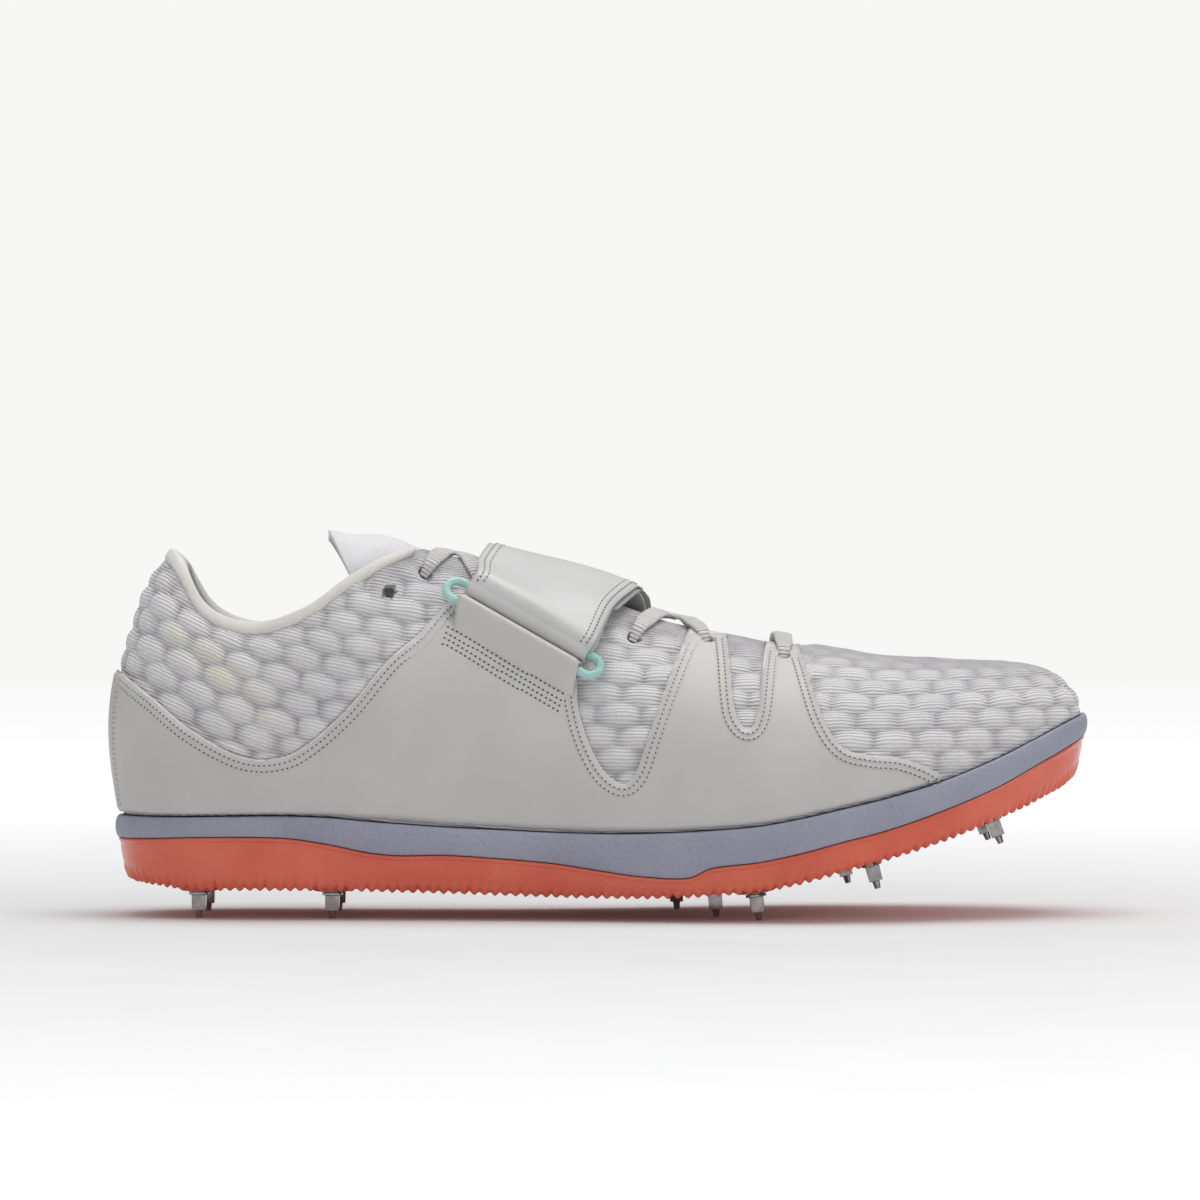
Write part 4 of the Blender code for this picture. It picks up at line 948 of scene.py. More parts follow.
def knitBubbles(along, course):
    # staggered pillows, each a little off its place and size so that they look knitted
    length, height = knit["bubbleLength"], knit["bubbleHeight"]
    best = along * 0
    for step in (-1, 0, 1):
        line = np.floor(course / height) + step
        shifted = along / length - 0.5 * (line % 2)
        cell = np.floor(shifted)
        uneven = np.sin(cell * 12.9 + line * 78.2)
        across = (shifted - cell - 0.5 + 0.05 * uneven) * length / (0.56 * length)
        up = (course / height - line - 0.5 + 0.06 * np.cos(cell * 7.3 + line * 3.1)) / 0.68
        best = np.maximum(best, (1 - np.abs(across) ** 2.6 - np.abs(up) ** 2.2) * (0.88 + 0.12 * uneven))
    return best


def courseDrop(x):
    xs = np.linspace(0, last["length"], 200)
    slope = np.interp(xs / last["length"], *courseSlope.T)
    return np.interp(x, xs, np.concatenate([[0], np.cumsum((slope[1:] + slope[:-1]) / 2 * np.diff(xs))]))


def buildKnit():
    w = wholeRing(knit["halfColumns"], rowAt(throat["front"], ring["topX"]))
    edge = edgeShare(w)
    closed = (edge > 0.9999) & (rowOf(w) > ridgeRow)
    outer, rim, inner = knit["outerRows"], knit["rimRows"], knit["innerRows"]
    wall = last["wall"]
    points = []
    fine = np.linspace(0, 1, 41)
    tall = form(w[:, None], fine[None, :])
    steps = np.linalg.norm(np.diff(tall, axis=1), axis=2)
    rise = np.concatenate([np.zeros((len(w), 1)), np.cumsum(steps, axis=1)], 1)
    along = lengthAt(rowOf(w))
    # courses lie level in side view, fall towards the heel's middle, and meet over the toes
    levelPoint = form(w, w * 0 + knit["levelShare"])
    levelRise = np.array([np.interp(knit["levelShare"], fine, rise[k]) for k in range(len(w))])
    level = levelPoint[:, 2] + courseDrop(levelPoint[:, 0])
    crest = level + rise[:, -1] - levelRise
    crest = (crest + crest[::-1]) / 2
    fusedFrom, fusedTo = np.array(knit["fusedFrom"]), np.array(knit["fusedTo"])
    holePoints = np.array([form(*hole) for hole in holes])
    calmStrip, throatFade, toeFade = knit["edgeCalm"]
    girths, puffs, fuses = [], [], []
    for share in np.linspace(0, 1, outer + 1):
        v = share * edge
        gone = np.array([np.interp(v[k], fine, rise[k]) for k in range(len(w))]) - levelRise
        girth = level + np.where(gone < 0, gone, gone / (rise[:, -1] - levelRise) * (crest - level))
        surface = form(w, v)
        covered = insideOutline(surface[:, 0], surface[:, 2])
        covered &= (rowOf(w) < panel["lastRow"]) & (v < panel["top"] * edge)
        toEdge = (1 - share) * rise[:, -1]
        foot = np.clip(share / knit["footFade"], 0, 1)
        calm = np.clip((toEdge - calmStrip) / throatFade, knit["calmest"][0], 1)
        calm = np.where(surface[:, 0] > knit["calmFrom"] * last["length"], calm, 1)
        toeCalm = np.clip((toEdge - calmStrip) / toeFade, knit["calmest"][1], 1)
        fade = foot * np.where(closed, toeCalm, np.clip(toEdge / knit["topFade"], 0, 1) * calm)
        forefoot = np.clip((surface[:, 0] / last["length"] - 0.55) / 0.2, 0, 1)
        fade = fade * (1 - knit["forefootCalm"] * forefoot)
        puff = knitBubbles(along, girth) * fade
        nearHole = np.min([np.linalg.norm(surface - point, axis=1) for point in holePoints], axis=0)
        dimple = np.exp(-((nearHole / knit["dimpleSize"]) ** 2))
        bubble = knit["bubbleDepth"] * (puff * (1 - dimple) - knit["hollow"] * fade)
        bubble = np.where(covered, -knit["tucked"], bubble - knit["holeDimple"] * dimple)
        step = fusedTo - fusedFrom
        t = np.clip(((surface[:, [0, 2]] - fusedFrom) @ step) / (step @ step), 0, 1)
        away = np.linalg.norm(surface[:, [0, 2]] - fusedFrom - t[:, None] * step, axis=1)
        points.append(surface + formNormal(w, v) * bubble[:, None])
        girths.append(girth)
        puffs.append(np.where(covered, 0.5, puff))
        fuses.append(np.clip(1.6 - away / knit["fusedReach"], 0, 1) * (puff > 0.45))
    # both sides share one ridge line over the toes
    ridgeTop, normal = form(w, edge), formNormal(w, edge)
    shared = closed[:, None]
    normal = np.where(shared, unit((normal + normal[::-1]) * (1, 0, 1)), normal)
    ridgeTop = np.where(shared, (ridgeTop + ridgeTop[::-1]) / 2, ridgeTop)
    ridgePuff = np.where(closed, (puffs[-1] + puffs[-1][::-1]) / 2 - knit["hollow"], 0)
    points[-1] = ridgeTop + normal * (knit["bubbleDepth"] * ridgePuff)[:, None]
    up = unit(ridgeTop - form(w, edge - 0.01))
    for k in range(1, rim + 1):
        angle = math.pi * k / (rim + 1)
        rounded = ridgeTop - normal * (wall / 2 * (1 - math.cos(angle))) + up * (wall / 2 * math.sin(angle))
        points.append(np.where(shared, points[outer] if k <= rim / 2 else ridgeTop - normal * wall, rounded))
        girths.append(girths[outer])
    for k in range(inner + 1):
        v = edge * (1 - k / inner)
        points.append((form(w, v) if k else ridgeTop) - (formNormal(w, v) if k else normal) * wall)
        girths.append(girths[outer] * (1 - k / inner))
    points.append(points[0])
    girths.append(girths[0])
    points, girths = np.array(points), np.array(girths)
    plain = [w * 0 + 0.6] * (len(points) - len(puffs))
    puffs, fuses = np.array(puffs + plain), np.array(fuses + [w * 0] * len(plain))
    bm, i, j = lattice(len(w) - 1, len(points) - 1)
    placeVerts(bm, points[j, i])
    for name, values in (("courseMm", girths / mm), ("puff", puffs), ("fused", fuses)):
        setLayer(bm, name, values[j, i])
    setLayer(bm, "alongMm", along[i] / mm)
    bm.verts.ensure_lookup_table()
    bm.verts.index_update()
    gone = []
    for face in bm.faces:
        js = [j[vert.index] for vert in face.verts]
        isClosed = all(closed[i[vert.index]] for vert in face.verts)
        if isClosed and min(js) >= outer and max(js) <= outer + rim + 1:
            gone.append(face)
        elif min(js) > outer + rim:
            face.material_index = 1
    bmesh.ops.delete(bm, geom=gone, context="FACES")
    piece = finishPiece("knittedUpper", bm, [finishes["knit"], finishes["lining"]], ["upper"])
    cutHoles(piece, holes)


buildKnit()
print("knitted upper made")

# Sole

midsole = {"halfColumns": 330, "topRound": 0.8 * mm, "sideRows": 12, "across": 10}


def closedSole(rings, across, bottomShape=None):
    # side wall from rings of the sole's outline, closed over top and bottom by lattices across
    rings = np.asarray(rings)
    count = rings.shape[1] - 1
    bm, i, j = lattice(count, len(rings) - 1)
    placeVerts(bm, rings[j, i])
    half = count // 2
    for ringPoints, shape in ((rings[0], bottomShape), (rings[-1], None)):
        cap, a, b = lattice(half, across)
        share = (b / across)[:, None]
        points = ringPoints[a] * (1 - share) + ringPoints[count - a] * share
        if shape is not None:
            points = shape(points, b / across)
        placeVerts(cap, points)
        joinInto(bm, cap)
    return bm


def buildMidsole():
    w = wholeRing(midsole["halfColumns"])
    welt, bulge, roundness = soleSizes["welt"], soleSizes["bulge"], midsole["topRound"]
    rings = []
    for share in np.linspace(0, 1, midsole["sideRows"] + 1):
        out = welt + bulge * math.sin(math.pi * min(share * 0.92, 1)) ** 0.7

        def height(x, s=share):
            low = seam(x) + gap
            return low + (soleTop(x) - roundness - low) * s

        rings.append(soleRing(w, w * 0 + out, height))
    for angle in (30, 60, 90):
        a = math.radians(angle)
        out = welt + bulge * 0.25 - roundness * (1 - math.cos(a))
        rings.append(soleRing(w, w * 0 + out, lambda x, s=math.sin(a): soleTop(x) - roundness * (1 - s)))
    finishPiece("foamMidsole", closedSole(rings, midsole["across"]), finishes["foam"], ["midsole"])


outsole = {
    "halfColumns": 480,
    "lip": 1.3 * mm,
    "lipOut": 0.5 * mm,
    "taper": 5 * mm,
    "inset": 0.3 * mm,
    "toothPitch": 2.95 * mm,
    "toothHeight": 1.35 * mm,
    "across": 36,
    "facets": (0.37, 0.60),  # along, where the side carries raised facets
    "facetPitch": 4.2 * mm,
    "facetHeight": 0.5 * mm,
    "ribHeight": 0.35 * mm,
    "ribPitch": 2.2 * mm * 2 * math.pi,
}

# The plate's wall: share of its height, inward, tooth drop, tooth reach
plateWall = (
    (0.0, 1.0, 0.0, 0.0), (0.0, 0.86, 0.25, 0.0), (0.0, 0.76, 1.0, 0.1), (0.03, 0.62, 1.0, 0.45),
    (0.13, 0.47, 0.5, 0.5), (0.22, 0.38, 0.15, 0.4), (0.30, 0.32, 0.0, 0.1), (0.38, 0.26, 0.0, 0.0),
    (0.46, 0.22, 0.0, 0.0), (0.54, 0.19, 0.0, 0.0), (0.62, 0.17, 0.0, 0.0), (0.70, 0.15, 0.0, 0.0),
    (0.78, 0.13, 0.0, 0.0), (0.86, 0.12, 0.0, 0.0), (1.0, 0.10, 0.0, 0.0),
)

# The lip over it: share of its height down from the seam, set back
plateLip = ((0.98, 0.45 * mm), (0.75, 0.1 * mm), (0.6, 0.0), (0.15, 0.0), (0.0, 0.15 * mm))

# name, along, across, standing
spikes = (
    ("spike_heel_lateral_rear", 0.096, -0.74, True),
    ("spike_heel_medial_rear", 0.096, 0.74, True),
    ("spike_heel_lateral_front", 0.231, -0.74, True),
    ("spike_heel_medial_front", 0.231, 0.74, True),
    ("spike_ball_medial_rear", 0.579, 0.80, True),
    ("spike_ball_middle", 0.616, -0.30, True),
    ("spike_ball_lateral_rear", 0.656, -0.72, True),
    ("spike_ball_medial", 0.752, 0.74, False),
    ("spike_ball_lateral", 0.772, -0.70, False),
    ("spike_toe_medial", 0.893, 0.60, False),
    ("spike_toe_lateral", 0.897, -0.50, False),
)
spike = {
    "length": 7.9 * mm, "flange": 3.0 * mm, "flangeThickness": 0.8 * mm, "body": 2.3 * mm,
    "pin": 1.0 * mm, "pinLength": 2.3 * mm, "shank": 2.2 * mm,
    "boss": 4.4 * mm, "bossFlare": 2.4 * mm, "uprightSlope": math.radians(2), "bevel": 0.12 * mm,
}


def spikePose(along, across, standing):
    x = np.array(along * last["length"])
    row = rowAt(x, ring["x"])
    edges = [float(basePoint(place(side, row))[1]) for side in (-1, 1)]
    middle, half = sum(edges) / 2, (edges[1] - edges[0]) / 2 - outsole["taper"]
    slope = math.atan2(float(ground(x + 2 * mm) - ground(x - 2 * mm)), 4 * mm)
    slope = slope if abs(slope) > spike["uprightSlope"] else 0.0
    reach = spike["length"] * math.cos(slope) + spike["pin"] * abs(math.sin(slope))
    height = reach if standing else float(ground(x)) - soleSizes["bossHeight"] * math.cos(slope)
    return Matrix.Translation((float(x), middle + across * half, height)) @ Matrix.Rotation(-slope, 4, "Y")


def buildOutsole():
    w = wholeRing(outsole["halfColumns"])
    edge = soleSizes["welt"] - outsole["inset"]
    lip, taper, tooth = outsole["lip"], outsole["taper"], outsole["toothHeight"]
    distance = travelled(basePoint(w))
    teeth = (np.abs((distance / outsole["toothPitch"]) % 1 - 0.5) * 2) ** 0.8
    along = basePoint(w)[:, 0] / last["length"]
    low, high = outsole["facets"]
    faceted = np.clip((along - low) * 40, 0, 1) * np.clip((high - along) * 25, 0, 1)
    rings = []
    for share, inward, drop, reach in plateWall:
        line = (share - 0.22) / 0.16
        a, b = (((distance / outsole["facetPitch"] + k * line) % 1) for k in (0.5, -0.5))
        facet = np.minimum(np.minimum(a, 1 - a), np.minimum(b, 1 - b)) * 2 * faceted * (0.25 < share < 0.8)
        out = edge - taper * inward + teeth * reach * tooth + facet * outsole["facetHeight"]
        rings.append(soleRing(w, out, lambda x, s=share: ground(x) + (seam(x) - lip - ground(x)) * s))
        rings[-1][:, 2] -= teeth * drop * tooth
    for share, back in plateLip:
        rings.append(soleRing(w, w * 0 + edge - back, lambda x, s=share: seam(x) - lip * s))
    poses = [spikePose(*entry[1:]) for entry in spikes]

    def underside(points, share):
        # bosses swell out of the plate round every spike, and shallow ribs run across it
        inner = np.clip(np.sin(math.pi * share) * 6, 0, 1)
        ribs = np.maximum(0, np.sin(points[:, 0] * 2 * math.pi / outsole["ribPitch"]))
        points[:, 2] -= inner * outsole["ribHeight"] * ribs
        for pose in poses:
            offset = points[:, :2] - (pose.translation.x, pose.translation.y)
            near = np.linalg.norm(offset, axis=1)
            swell = np.clip(1 - (near - spike["boss"]) / (spike["bossFlare"] * 1.6), 0, 1)
            swell = swell * swell * (3 - 2 * swell) * (share * (1 - share) > 0)
            face = pose.translation.z - offset[:, 0] * math.tan(pose.to_euler().y)
            points[:, 2] = points[:, 2] * (1 - swell) + face * swell
        return points

    bm = closedSole(rings, outsole["across"], underside)
    finishPiece("nylonPlate", bm, finishes["plate"], ["outsole"], sharp=50)


def buildSpikes():
    bm = bmesh.new()
    shoulder = spike["length"] - spike["pinLength"]
    flange = gap + spike["flangeThickness"]
    # sides, upper and lower radius, upper and lower end
    parts = (
        (24, spike["shank"], spike["shank"], 0.4 * mm, -gap),
        (24, spike["flange"], spike["flange"], -gap, -flange),
        (4, spike["body"] * 1.26, spike["body"] * 1.18, -flange, -shoulder),
        (16, spike["pin"] * 1.15, spike["pin"] * 0.85, -shoulder, -spike["length"]),
    )
    for entry in spikes:
        pose = spikePose(*entry[1:])
        for sides, upper, lower, high, low in parts:
            turn = pose @ Matrix.Translation((0, 0, (high + low) / 2)) @ Matrix.Rotation(math.pi / 4, 4, "Z")
            made = bmesh.ops.create_cone(
                bm, cap_ends=True, segments=sides, radius1=lower, radius2=upper, depth=high - low, matrix=turn)
            edges = {e for vert in made["verts"] for e in vert.link_edges}
            bmesh.ops.bevel(bm, geom=list(edges), offset=spike["bevel"], segments=1, profile=0.5,
                            affect="EDGES", material=-1)
    finishPiece("steelSpikes", bm, finishes["steel"], [entry[0] for entry in spikes], sharp=35)


def buildInsole():
    w = wholeRing(120)
    lip, thickness, chamfer = soleSizes["insoleLip"], soleSizes["insole"], 0.5 * mm
    # set in, height over the sole's top
    profile = ((lip, gap), (0.0, gap + lip), (0.0, thickness - chamfer), (chamfer, thickness))
    rings = [soleRing(w, w * 0 + insoleInset - back, lambda x, h=high: soleTop(x) + h) for back, high in profile]
    finishPiece("insoleBoard", closedSole(rings, 12), finishes["lining"], ["insole"])


buildMidsole()
buildOutsole()
buildSpikes()
buildInsole()
print("sole made")

# Collar binding

binding = {
    "lastRow": 7.3,
    "thickness": 1.0 * mm,
    "room": 0.5 * mm,
    "drop": 2.9 * mm,
    "columns": 420,
    "around": 20,
}


def buildBinding():
    rows = np.linspace(-binding["lastRow"], binding["lastRow"], binding["columns"] + 1)
    w = rows % ringSteps
    edges, lows = form(w, w * 0 + 1.0), form(w, w * 0 + 0.875)
    up = unit(edges - lows)
    along = unit(np.gradient(edges, axis=0))
    normal = unit(np.cross(along, up))
    half = last["wall"] / 2 + binding["room"] + binding["thickness"]
    top = binding["room"] + binding["thickness"]
    rings = []
    for k in range(binding["around"]):
        angle = 2 * math.pi * k / binding["around"]
        x = math.copysign(abs(math.cos(angle)) ** 0.7, math.cos(angle)) * half * 0.97
        y = math.sin(angle)
        y = (y**0.8) * top if y > 0 else -(abs(y) ** 0.6) * binding["drop"]
        rings.append(edges - normal * last["wall"] / 2 + normal * x + up * y)
    bm = rolled(np.array(rings).transpose(1, 0, 2), layers={"lengthMm": travelled(edges)[:, None] / mm})
    finishPiece("collarBinding", bm, finishes["tape"], ["collar_binding"])


buildBinding()

# Tongue

tongue = {
    "thickness": 3.4 * mm, "halfWidth": 20 * mm, "room": 0.8 * mm, "arc": 1.25,
    "frontRows": 0.7, "frontDip": 1.4 * mm, "across": 36, "sections": 12,
}

# along, height, half width, drop, lag
tongueEnd = (
    (0.318, 1.004, 0.78, 0.80, 0.003), (0.300, 1.034, 0.82, 0.85, 0.008),
    (0.276, 1.058, 0.88, 0.85, 0.015), (0.250, 1.058, 0.92, 0.80, 0.022),
    (0.222, 1.076, 0.90, 0.75, 0.028),
)


def buildTongue():
    shares = np.linspace(-1, 1, tongue["across"] + 1)
    front = float(rowAt(throat["front"], ring["topX"])) + tongue["frontRows"]
    sections = []
    lower = tongue["thickness"] * (1 - 0.55 * np.abs(shares) ** 3)
    for row in np.linspace(front - 0.02, ridgeRow + 0.5, tongue["sections"]):
        dip = min(max(row - front + 2 * tongue["frontRows"], 0.0), 1.0) * tongue["frontDip"]
        top = -(last["wall"] + tongue["room"] + dip)
        w = np.where(shares < 0, row, ringSteps - row)
        v = shareAtSide(w, np.abs(shares) * tongue["halfWidth"])
        sections.append((skin(w, v, top), skin(w, v, top - lower)))
    floor = float(soleTop(ring["x"][ridgeRow]))
    for along, height, halfWidth, drop, lag in tongueEnd:
        angle = shares * tongue["arc"]
        sag = (1 - np.cos(angle)) / (1 - math.cos(tongue["arc"]))
        x = along * last["length"] + lag * last["length"] * np.abs(shares) ** 1.5
        y = np.sin(angle) / math.sin(tongue["arc"]) * halfWidth * tongue["halfWidth"]
        z = floor + height * last["instepHeight"] - sag * drop * tongue["halfWidth"]
        out = unit(np.stack([angle * 0 - 0.12, np.sin(angle), np.cos(angle)], -1))
        upper = np.stack([x, y, z], -1)
        thickness = tongue["thickness"] * (1 - 0.5 * np.abs(shares) ** 3)
        sections.append((upper, upper - out * thickness[:, None]))
    rings = smoothPath([np.concatenate([a, b[::-1]]) for a, b in sections], 6)
    middle = rings[:, tongue["across"] // 2]
    bm = rolled(rings, layers={"lengthMm": travelled(middle)[:, None] / mm})
    finishPiece("tongueSheet", bm, finishes["tongue"], ["tongue"])


buildTongue()
print("binding and tongue made")

# Strap, ring and fold

strap = {
    "thickness": 1.2 * mm, "layerGap": 0.4 * mm, "straight": 4.5 * mm, "pitch": math.radians(14),
    "wire": 1.25 * mm, "endRoom": 2.2 * mm, "wrapRoom": 0.55 * mm, "tab": 1.0 * mm,
    "tabBack": 2.2 * mm, "across": 40, "crown": 0.5 * mm,
    "seams": (0.045, 0.085, 0.915, 0.955), "foldSeam": (-0.05, 0.96),
    "foldSeamRows": (10.0 * mm, 11.7 * mm, 13.4 * mm, 15.1 * mm), "hookLayer": 0.34 * mm,
    "shoulder": 0.93,  # share of the girth where the strap leaves the instep for the ring
    "outerLayer": (4, 57),  # points of its path that the outer layer's stitches follow
}
laceSizes = {
    "width": 5.4 * mm, "thickness": 1.3 * mm, "sag": 1.7 * mm, "pressed": 0.8 * mm,
    "dive": ((0, 1.2, 2.2, 3.2, 5.0), (3.4, 2.0, 0.9, 0.25, 0)),  # mm from the hole, mm down into it
    "gather": ((0, 1.5, 3, 7), (0.50, 0.56, 0.72, 1.0)),  # mm from the hole, share of the width
}
underStrap = (9,)  # the medial hole that the strap lies on

# edge: row at the ridge, slant, lateral end, medial end, free end
strapEdges = {"rear": (8.55, 0.14, 0.615, 0.36, 0.74), "front": (10.45, 0.33, 0.472, 0.27, 0.64)}


def strapEnd(k, share):
    return strapEdges["rear"][k] + (strapEdges["front"][k] - strapEdges["rear"][k]) * share


def strapPlace(share, v, side):
    share, v = np.broadcast_arrays(np.asarray(share, float), np.asarray(v, float))
    ridge, slant = strapEnd(0, share), strapEnd(1, share)
    middle = form(ridge, ridge * 0 + 1.0)
    across = np.stack([share * 0 + math.cos(strap["pitch"]), -slant, share * 0 - math.sin(strap["pitch"])], -1)

    def behind(row):
        w = row if side < 0 else ringSteps - row
        return ((form(w, v) - middle) * across).sum(-1) < 0

    return place(side, halving(behind, ridge - 3, ridge + 3))


def ringAxes():
    lift = gap * 2 + panel["thickness"] + strap["tab"] + strap["wrapRoom"] + strap["wire"]
    ends = [skin(strapPlace(s, strapEnd(2, s), -1), strapEnd(2, s), lift) for s in (0.0, 1.0)]
    along = unit(ends[1] - ends[0])
    v = strapEnd(2, 0.5)
    out = formNormal(strapPlace(0.5, v, -1), np.array(v))
    out = unit(out - along * (out @ along))
    up = unit(np.cross(out, along))
    up = up if up[2] > 0 else -up
    return (ends[0] + ends[1]) / 2, along, up, out, float(np.linalg.norm(ends[1] - ends[0]))


ringHalfWidth = (2 * strap["wire"] + 2 * strap["wrapRoom"] + strap["thickness"] + strap["tab"] + gap) / 2
ringLine = ringAxes()


def bendShare(share):
    # halfway from the ring up to the instep
    ringEnd = strapEnd(2, share)
    return ringEnd + 0.55 * (strap["shoulder"] - ringEnd)


def onStrap(share, v, side, lift):
    return skin(strapPlace(share, v, side), v, lift)


def aroundBar(share, thickness, side):
    # half a turn round the ring's upper or lower bar, with the bar and its radius
    middle, along, up, out, length = ringLine
    bar = middle + (share - 0.5)[:, None] * along * length + up * ringHalfWidth * side
    radius = strap["wire"] + strap["wrapRoom"] + thickness / 2
    turns = [math.radians(turn) for turn in (0, 45, 90, 135, 180)]
    return bar, radius, [bar + out * radius * math.cos(a) - up * side * radius * math.sin(a) for a in turns]


def strapPath(share):
    half = strap["thickness"] / 2
    under = laceSizes["thickness"] + 4 * gap + half
    over = under + strap["thickness"] + strap["layerGap"]
    low = gap * 2 + panel["thickness"] + half
    up, out = ringLine[2:4]
    bar, radius, turn = aroundBar(share, strap["thickness"], 1)
    shoulder, bend = strap["shoulder"], bendShare(share)
    medialEnd, freeEnd = strapEnd(3, share), strapEnd(4, share)
    middle = (low + under) / 2
    points = [onStrap(share, v, side, over) for v, side in (
        (freeEnd, 1), ((freeEnd + 1) / 2 - 0.02, 1), (0.95, 1), (1.0, -1), (shoulder, -1), (bend, -1))]
    points.append(bar + up * strap["straight"] + out * (radius + gap))
    points += turn
    points.append(bar + up * strap["straight"] - out * (radius - 0.2 * mm))
    points += [onStrap(share, v, side, lift) for v, side, lift in (
        (bend, -1, middle), (shoulder, -1, under), (1.0, -1, under), (0.94, 1, under), (0.84, 1, under),
        (0.70, 1, middle), *((medialEnd + (0.70 - medialEnd) * k, 1, low) for k in (0.62, 0.3, 0.0)))]
    return smoothPath(points, 8).transpose(1, 0, 2)


# The fold sinks into the panel that it is sewn to: distance below the ring, height of its middle
foldLie = (
    (15.5 * mm, 0.55 * mm), (13.4 * mm, 0.74 * mm), (11.8 * mm, 0.86 * mm), (10.2 * mm, 1.02 * mm),
    (8.4 * mm, 1.5 * mm),
)


def belowRing(share, distance, lift):
    # places and points on the skin that far below the ring
    w = strapPlace(share, strapEnd(2, share), -1)
    v = girthStep(w, strapEnd(2, share), distance)
    at = strapPlace(share, v, -1)
    return skin(at, v, lift), formNormal(at, v)


def foldPath(share):
    up, out = ringLine[2:4]
    bar, radius, turn = aroundBar(share, strap["tab"], -1)
    end = bar - up * strap["tabBack"] - out * (radius + gap / 3)
    points = [belowRing(share, distance, height)[0] for distance, height in foldLie] + turn + [end]
    return smoothPath(points, 8).transpose(1, 0, 2)


def hookPath(share):
    lift = laceSizes["thickness"] + 4 * gap + strap["thickness"] + strap["layerGap"] / 2
    places = (
        (strapEnd(4, share), 1), (0.86, 1), (0.95, 1), (1.0, -1), (strap["shoulder"], -1), (bendShare(share), -1))
    return smoothPath([onStrap(share, v, side, lift) for v, side in places], 8).transpose(1, 0, 2)


def buildRibbon(name, pathOf, thickness, finish, nodes=(), first=0.0, final=1.0, crown=0.0):
    paths = pathOf(np.linspace(first, final, strap["across"] + 1))
    finishPiece(name, rolled(ribbonRings(paths, thickness, crown=crown)), finish, nodes)


def buildStrapStitches():
    # double rows down both long edges of the outer layer and one across its free end
    first, final = strap["outerLayer"]
    shares = np.linspace(0, 1, strap["across"] + 1)
    paths = strapPath(shares)[:, first:final]
    normals = unit(np.cross(np.gradient(paths, axis=1), np.gradient(paths, axis=0)))
    normals = normals * np.sign(normals[12, 20, 2])
    place = (1 - (2 * shares - 1) ** 2)[:, None]
    top = paths + normals * (strap["thickness"] / 2 + strapCrown[first:final] * place)[..., None]

    def alongRow(share):
        k = share * strap["across"]
        low, part = int(k), k % 1
        return tuple(a[low] * (1 - part) + a[low + 1] * part for a in (top, normals))

    rows = [alongRow(share) for share in strap["seams"]] + [(top[1:-1, 2], normals[1:-1, 2])]
    buildStitches("strapStitches", rows)


def buildFoldStitches():
    share = np.linspace(*strap["foldSeam"], 60)
    onLeather = gap + panel["thickness"]
    rows = []
    for distance in strap["foldSeamRows"]:
        fold = np.interp(distance, *np.array(foldLie[::-1]).T) + strap["tab"] / 2
        lift = np.where((share > 0.02) & (share < 0.98), max(fold, onLeather), onLeather)
        rows.append(belowRing(share, distance, lift))
    buildStitches("ringFoldStitches", rows, holeScale=1.25)


def buildRing():
    middle, along, up, out, length = ringLine
    halfLength = length / 2 + strap["endRoom"]
    line = []
    for sign in (1, -1):
        for k in range(17):
            a = math.pi / 2 - math.pi * k / 16
            ahead = along * sign * (halfLength + ringHalfWidth * math.cos(a))
            line.append(middle + ahead + up * ringHalfWidth * math.sin(a) * sign)
    line = np.array(line)
    tangent = unit(np.roll(line, -1, 0) - np.roll(line, 1, 0))
    inward = unit(np.cross(tangent, out))
    turns = np.linspace(0, 2 * math.pi, 20, endpoint=False)
    wire = inward[:, None] * np.cos(turns)[:, None] + out * np.sin(turns)[:, None]
    rings = line[:, None] + strap["wire"] * wire
    finishPiece("strapRing", rolled(rings, closedAlong=True), finishes["ring"], ["strap_ring"])


# only the outer layer is puffed
strapCrown = strap["crown"] * np.clip((60 - np.arange(strapPath(np.array([0.5])).shape[1])) / 12, 0, 1)
buildRibbon("closingStrap", strapPath, strap["thickness"], finishes["strap"], ["strap"], crown=strapCrown)
buildRibbon("hookLayer", hookPath, strap["hookLayer"], finishes["hooks"], first=0.03, final=1.03)
buildRibbon("ringFold", foldPath, strap["tab"], finishes["fold"], ["ring_tab"])
buildRing()
buildStrapStitches()
buildFoldStitches()
print("strap and ring made")

# Laces


def laceLift(hole):
    onPanel = panel["thickness"] + gap if hole % len(eyelets) < eyelet["onPanel"] else 0.0
    pressed = laceSizes["pressed"] if hole in underStrap else 0.0
    return gap + onPanel + laceSizes["thickness"] / 2 - pressed


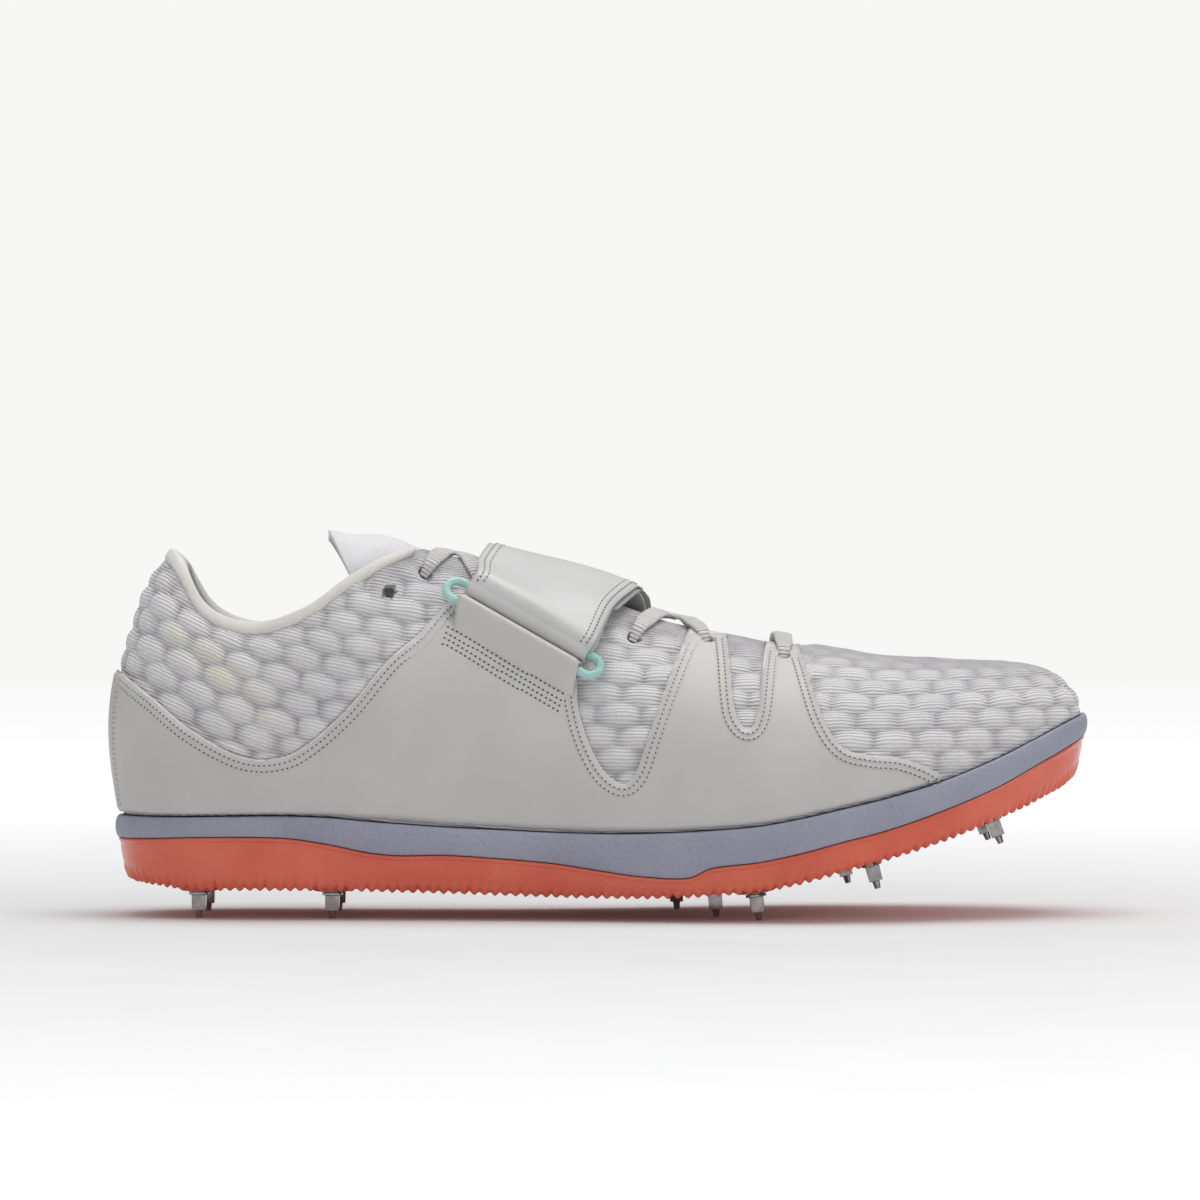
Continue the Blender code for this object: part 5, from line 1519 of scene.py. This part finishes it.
def laceRings(first, second, steps=70):
    ends = [form(*holes[hole])[:2] for hole in (first, second)]
    lifts = [laceLift(hole) for hole in (first, second)]
    t = (1 - np.cos(np.linspace(0, math.pi, steps + 1))) / 2
    x, y = (ends[0][k] + (ends[1][k] - ends[0][k]) * t for k in (0, 1))
    w, v = planPlace(x, y)
    away = np.linalg.norm(ends[1] - ends[0]) * np.minimum(t, 1 - t)
    lift = lifts[0] + (lifts[1] - lifts[0]) * t
    # each end gathers and dives through its hole
    dive = mm * np.interp(away / mm, *laceSizes["dive"])
    gather = np.interp(away / mm, *laceSizes["gather"])
    sag = laceSizes["sag"] * np.clip(1 - np.abs(y - swing(x)) / throat["halfGapTop"], 0, 1) ** 0.7
    points = skin(w, v, lift - dive - sag)
    normals = formNormal(w, np.minimum(v, 0.98))
    along = unit(np.gradient(points, axis=0))
    across = unit(np.cross(normals, along))
    thick = unit(np.cross(along, across))
    turns = np.linspace(0, 2 * math.pi, 16, endpoint=False)
    flat, high = (np.sign(wave) * np.abs(wave) ** 0.7 * size / 2 for wave, size in (
        (np.cos(turns), laceSizes["width"]), (np.sin(turns), laceSizes["thickness"])))
    plump = 1 + 0.25 * (1 - gather)
    rings = (points[:, None] + across[:, None] * flat[:, None] * gather[:, None, None]
             + thick[:, None] * high[:, None] * plump[:, None, None])
    return rings, travelled(points)


def buildLaces():
    count = len(eyelets)
    # each name with its node, the lateral holes and the medial ones
    spans = (
        ("laceFrontBar", "lace_front_bar", (0,), (0,)),
        ("laceMiddleBar", "lace_middle_bar", (3,), (3,)),
        ("laceFrontCrossing", "lace_crossing_front", (1, 2), (2, 1)),
        ("laceRearCrossing", "lace_crossing_rear", (4, 5), (5, 4)),
    )
    for name, node, lateral, medial in spans:
        whole = bmesh.new()
        whole.verts.layers.float.new("lengthMm")
        for first, second in zip(lateral, medial):
            rings, length = laceRings(first, second + count)
            joinInto(whole, rolled(rings, layers={"lengthMm": length[:, None] / mm}))
        finishPiece(name, whole, finishes["lace"], [node])


buildLaces()
print("laces made")

# Studio

studio = {
    "cameraX": 144.1 * mm, "distance": 1500 * mm, "height": 92.3 * mm, "viewWidth": 352.7 * mm, "sensor": 36.0,
    "floorSize": 8.0, "glowFrom": 0.15, "glowTo": 1.2,
}

# name, place, turn in degrees, size, power
lamps = (
    ("overheadBox", (0.05, 0.05, 1.2), (-2, 2, 0), 0.9, 8.4),
    ("frontBox", (-0.6, -1.6, 0.7), (66, 0, -20), 0.9, 2.0),
    ("toeBox", (1.3, -0.7, 0.6), (66, 0, 60), 0.6, 3.2),
)


def buildFloor():
    bm = bmesh.new()
    bmesh.ops.create_grid(bm, x_segments=1, y_segments=1, size=studio["floorSize"] / 2)
    floor = addObject("studioFloor", meshOf("studioFloor", bm))
    # painted glow: the floor emits light, dark near the shoe and brighter away from it, so that it runs into the
    # backdrop without a line
    material, tree = newMaterial("white floor paper with painted glow", {
        "Roughness": 0.9, "Specular IOR Level": 0.1, "Emission Strength": 1.0,
    })
    shader = tree.nodes["Principled BSDF"]
    place = addNode(tree, "TexCoord", {}, "Object")
    away = addNode(tree, "VectorMath", {0: place}, "Value", operation="LENGTH")
    # painted glow that grows with distance from the shoe
    glow = twoTone(tree, away, "#242424", "#CACACA", studio["glowFrom"], studio["glowTo"])
    tree.links.new(glow, shader.inputs["Emission Color"])
    tree.links.new(twoTone(tree, mottle(tree, 40 * mm), "#E2E2E2", "#E4E4E4"), shader.inputs["Base Color"])
    floor.data.materials.append(material)


def buildCamera():
    camera = addObject("photoCamera", bpy.data.cameras.new("photoCamera"))
    camera.location = (studio["cameraX"] + shift[0], -studio["distance"], studio["height"])
    camera.rotation_euler = (math.pi / 2, 0, 0)
    camera.data.sensor_width = studio["sensor"]
    camera.data.lens = studio["sensor"] * studio["distance"] / studio["viewWidth"]
    camera.data.clip_end = 50
    bpy.context.scene.camera = camera


def buildLight():
    # large soft boxes: one overhead, one in front and one from the toe side
    for name, location, turn, size, power in lamps:
        lamp = bpy.data.lights.new(name, "AREA")
        lamp.shape = "SQUARE"
        lamp.size = size
        lamp.energy = power
        holder = addObject(name, lamp)
        holder.location = location
        holder.rotation_euler = [math.radians(a) for a in turn]

    # bright overhead and dimmer round the sides, with an even near-white backdrop for the camera
    world = bpy.data.worlds.new("studioWorld")
    bpy.context.scene.world = world
    world.use_nodes = True
    tree = world.node_tree
    direction = addNode(tree, "TexCoord", {}, "Generated")
    sky = twoTone(tree, addNode(tree, "SeparateXYZ", {"Vector": direction}, "Z"), "#68696C", "#C4C4C5", 0.0, 0.8)
    seen = addNode(tree, "LightPath", {}, "Is Camera Ray")
    color = addNode(tree, "Mix", {"Factor": seen, "A": sky, "B": linear("#F7F7F6")}, "Result", data_type="RGBA")
    tree.links.new(color, tree.nodes["Background"].inputs["Color"])
    bpy.context.scene.view_settings.view_transform = "Standard"


buildFloor()
buildCamera()
buildLight()
print("studio made")
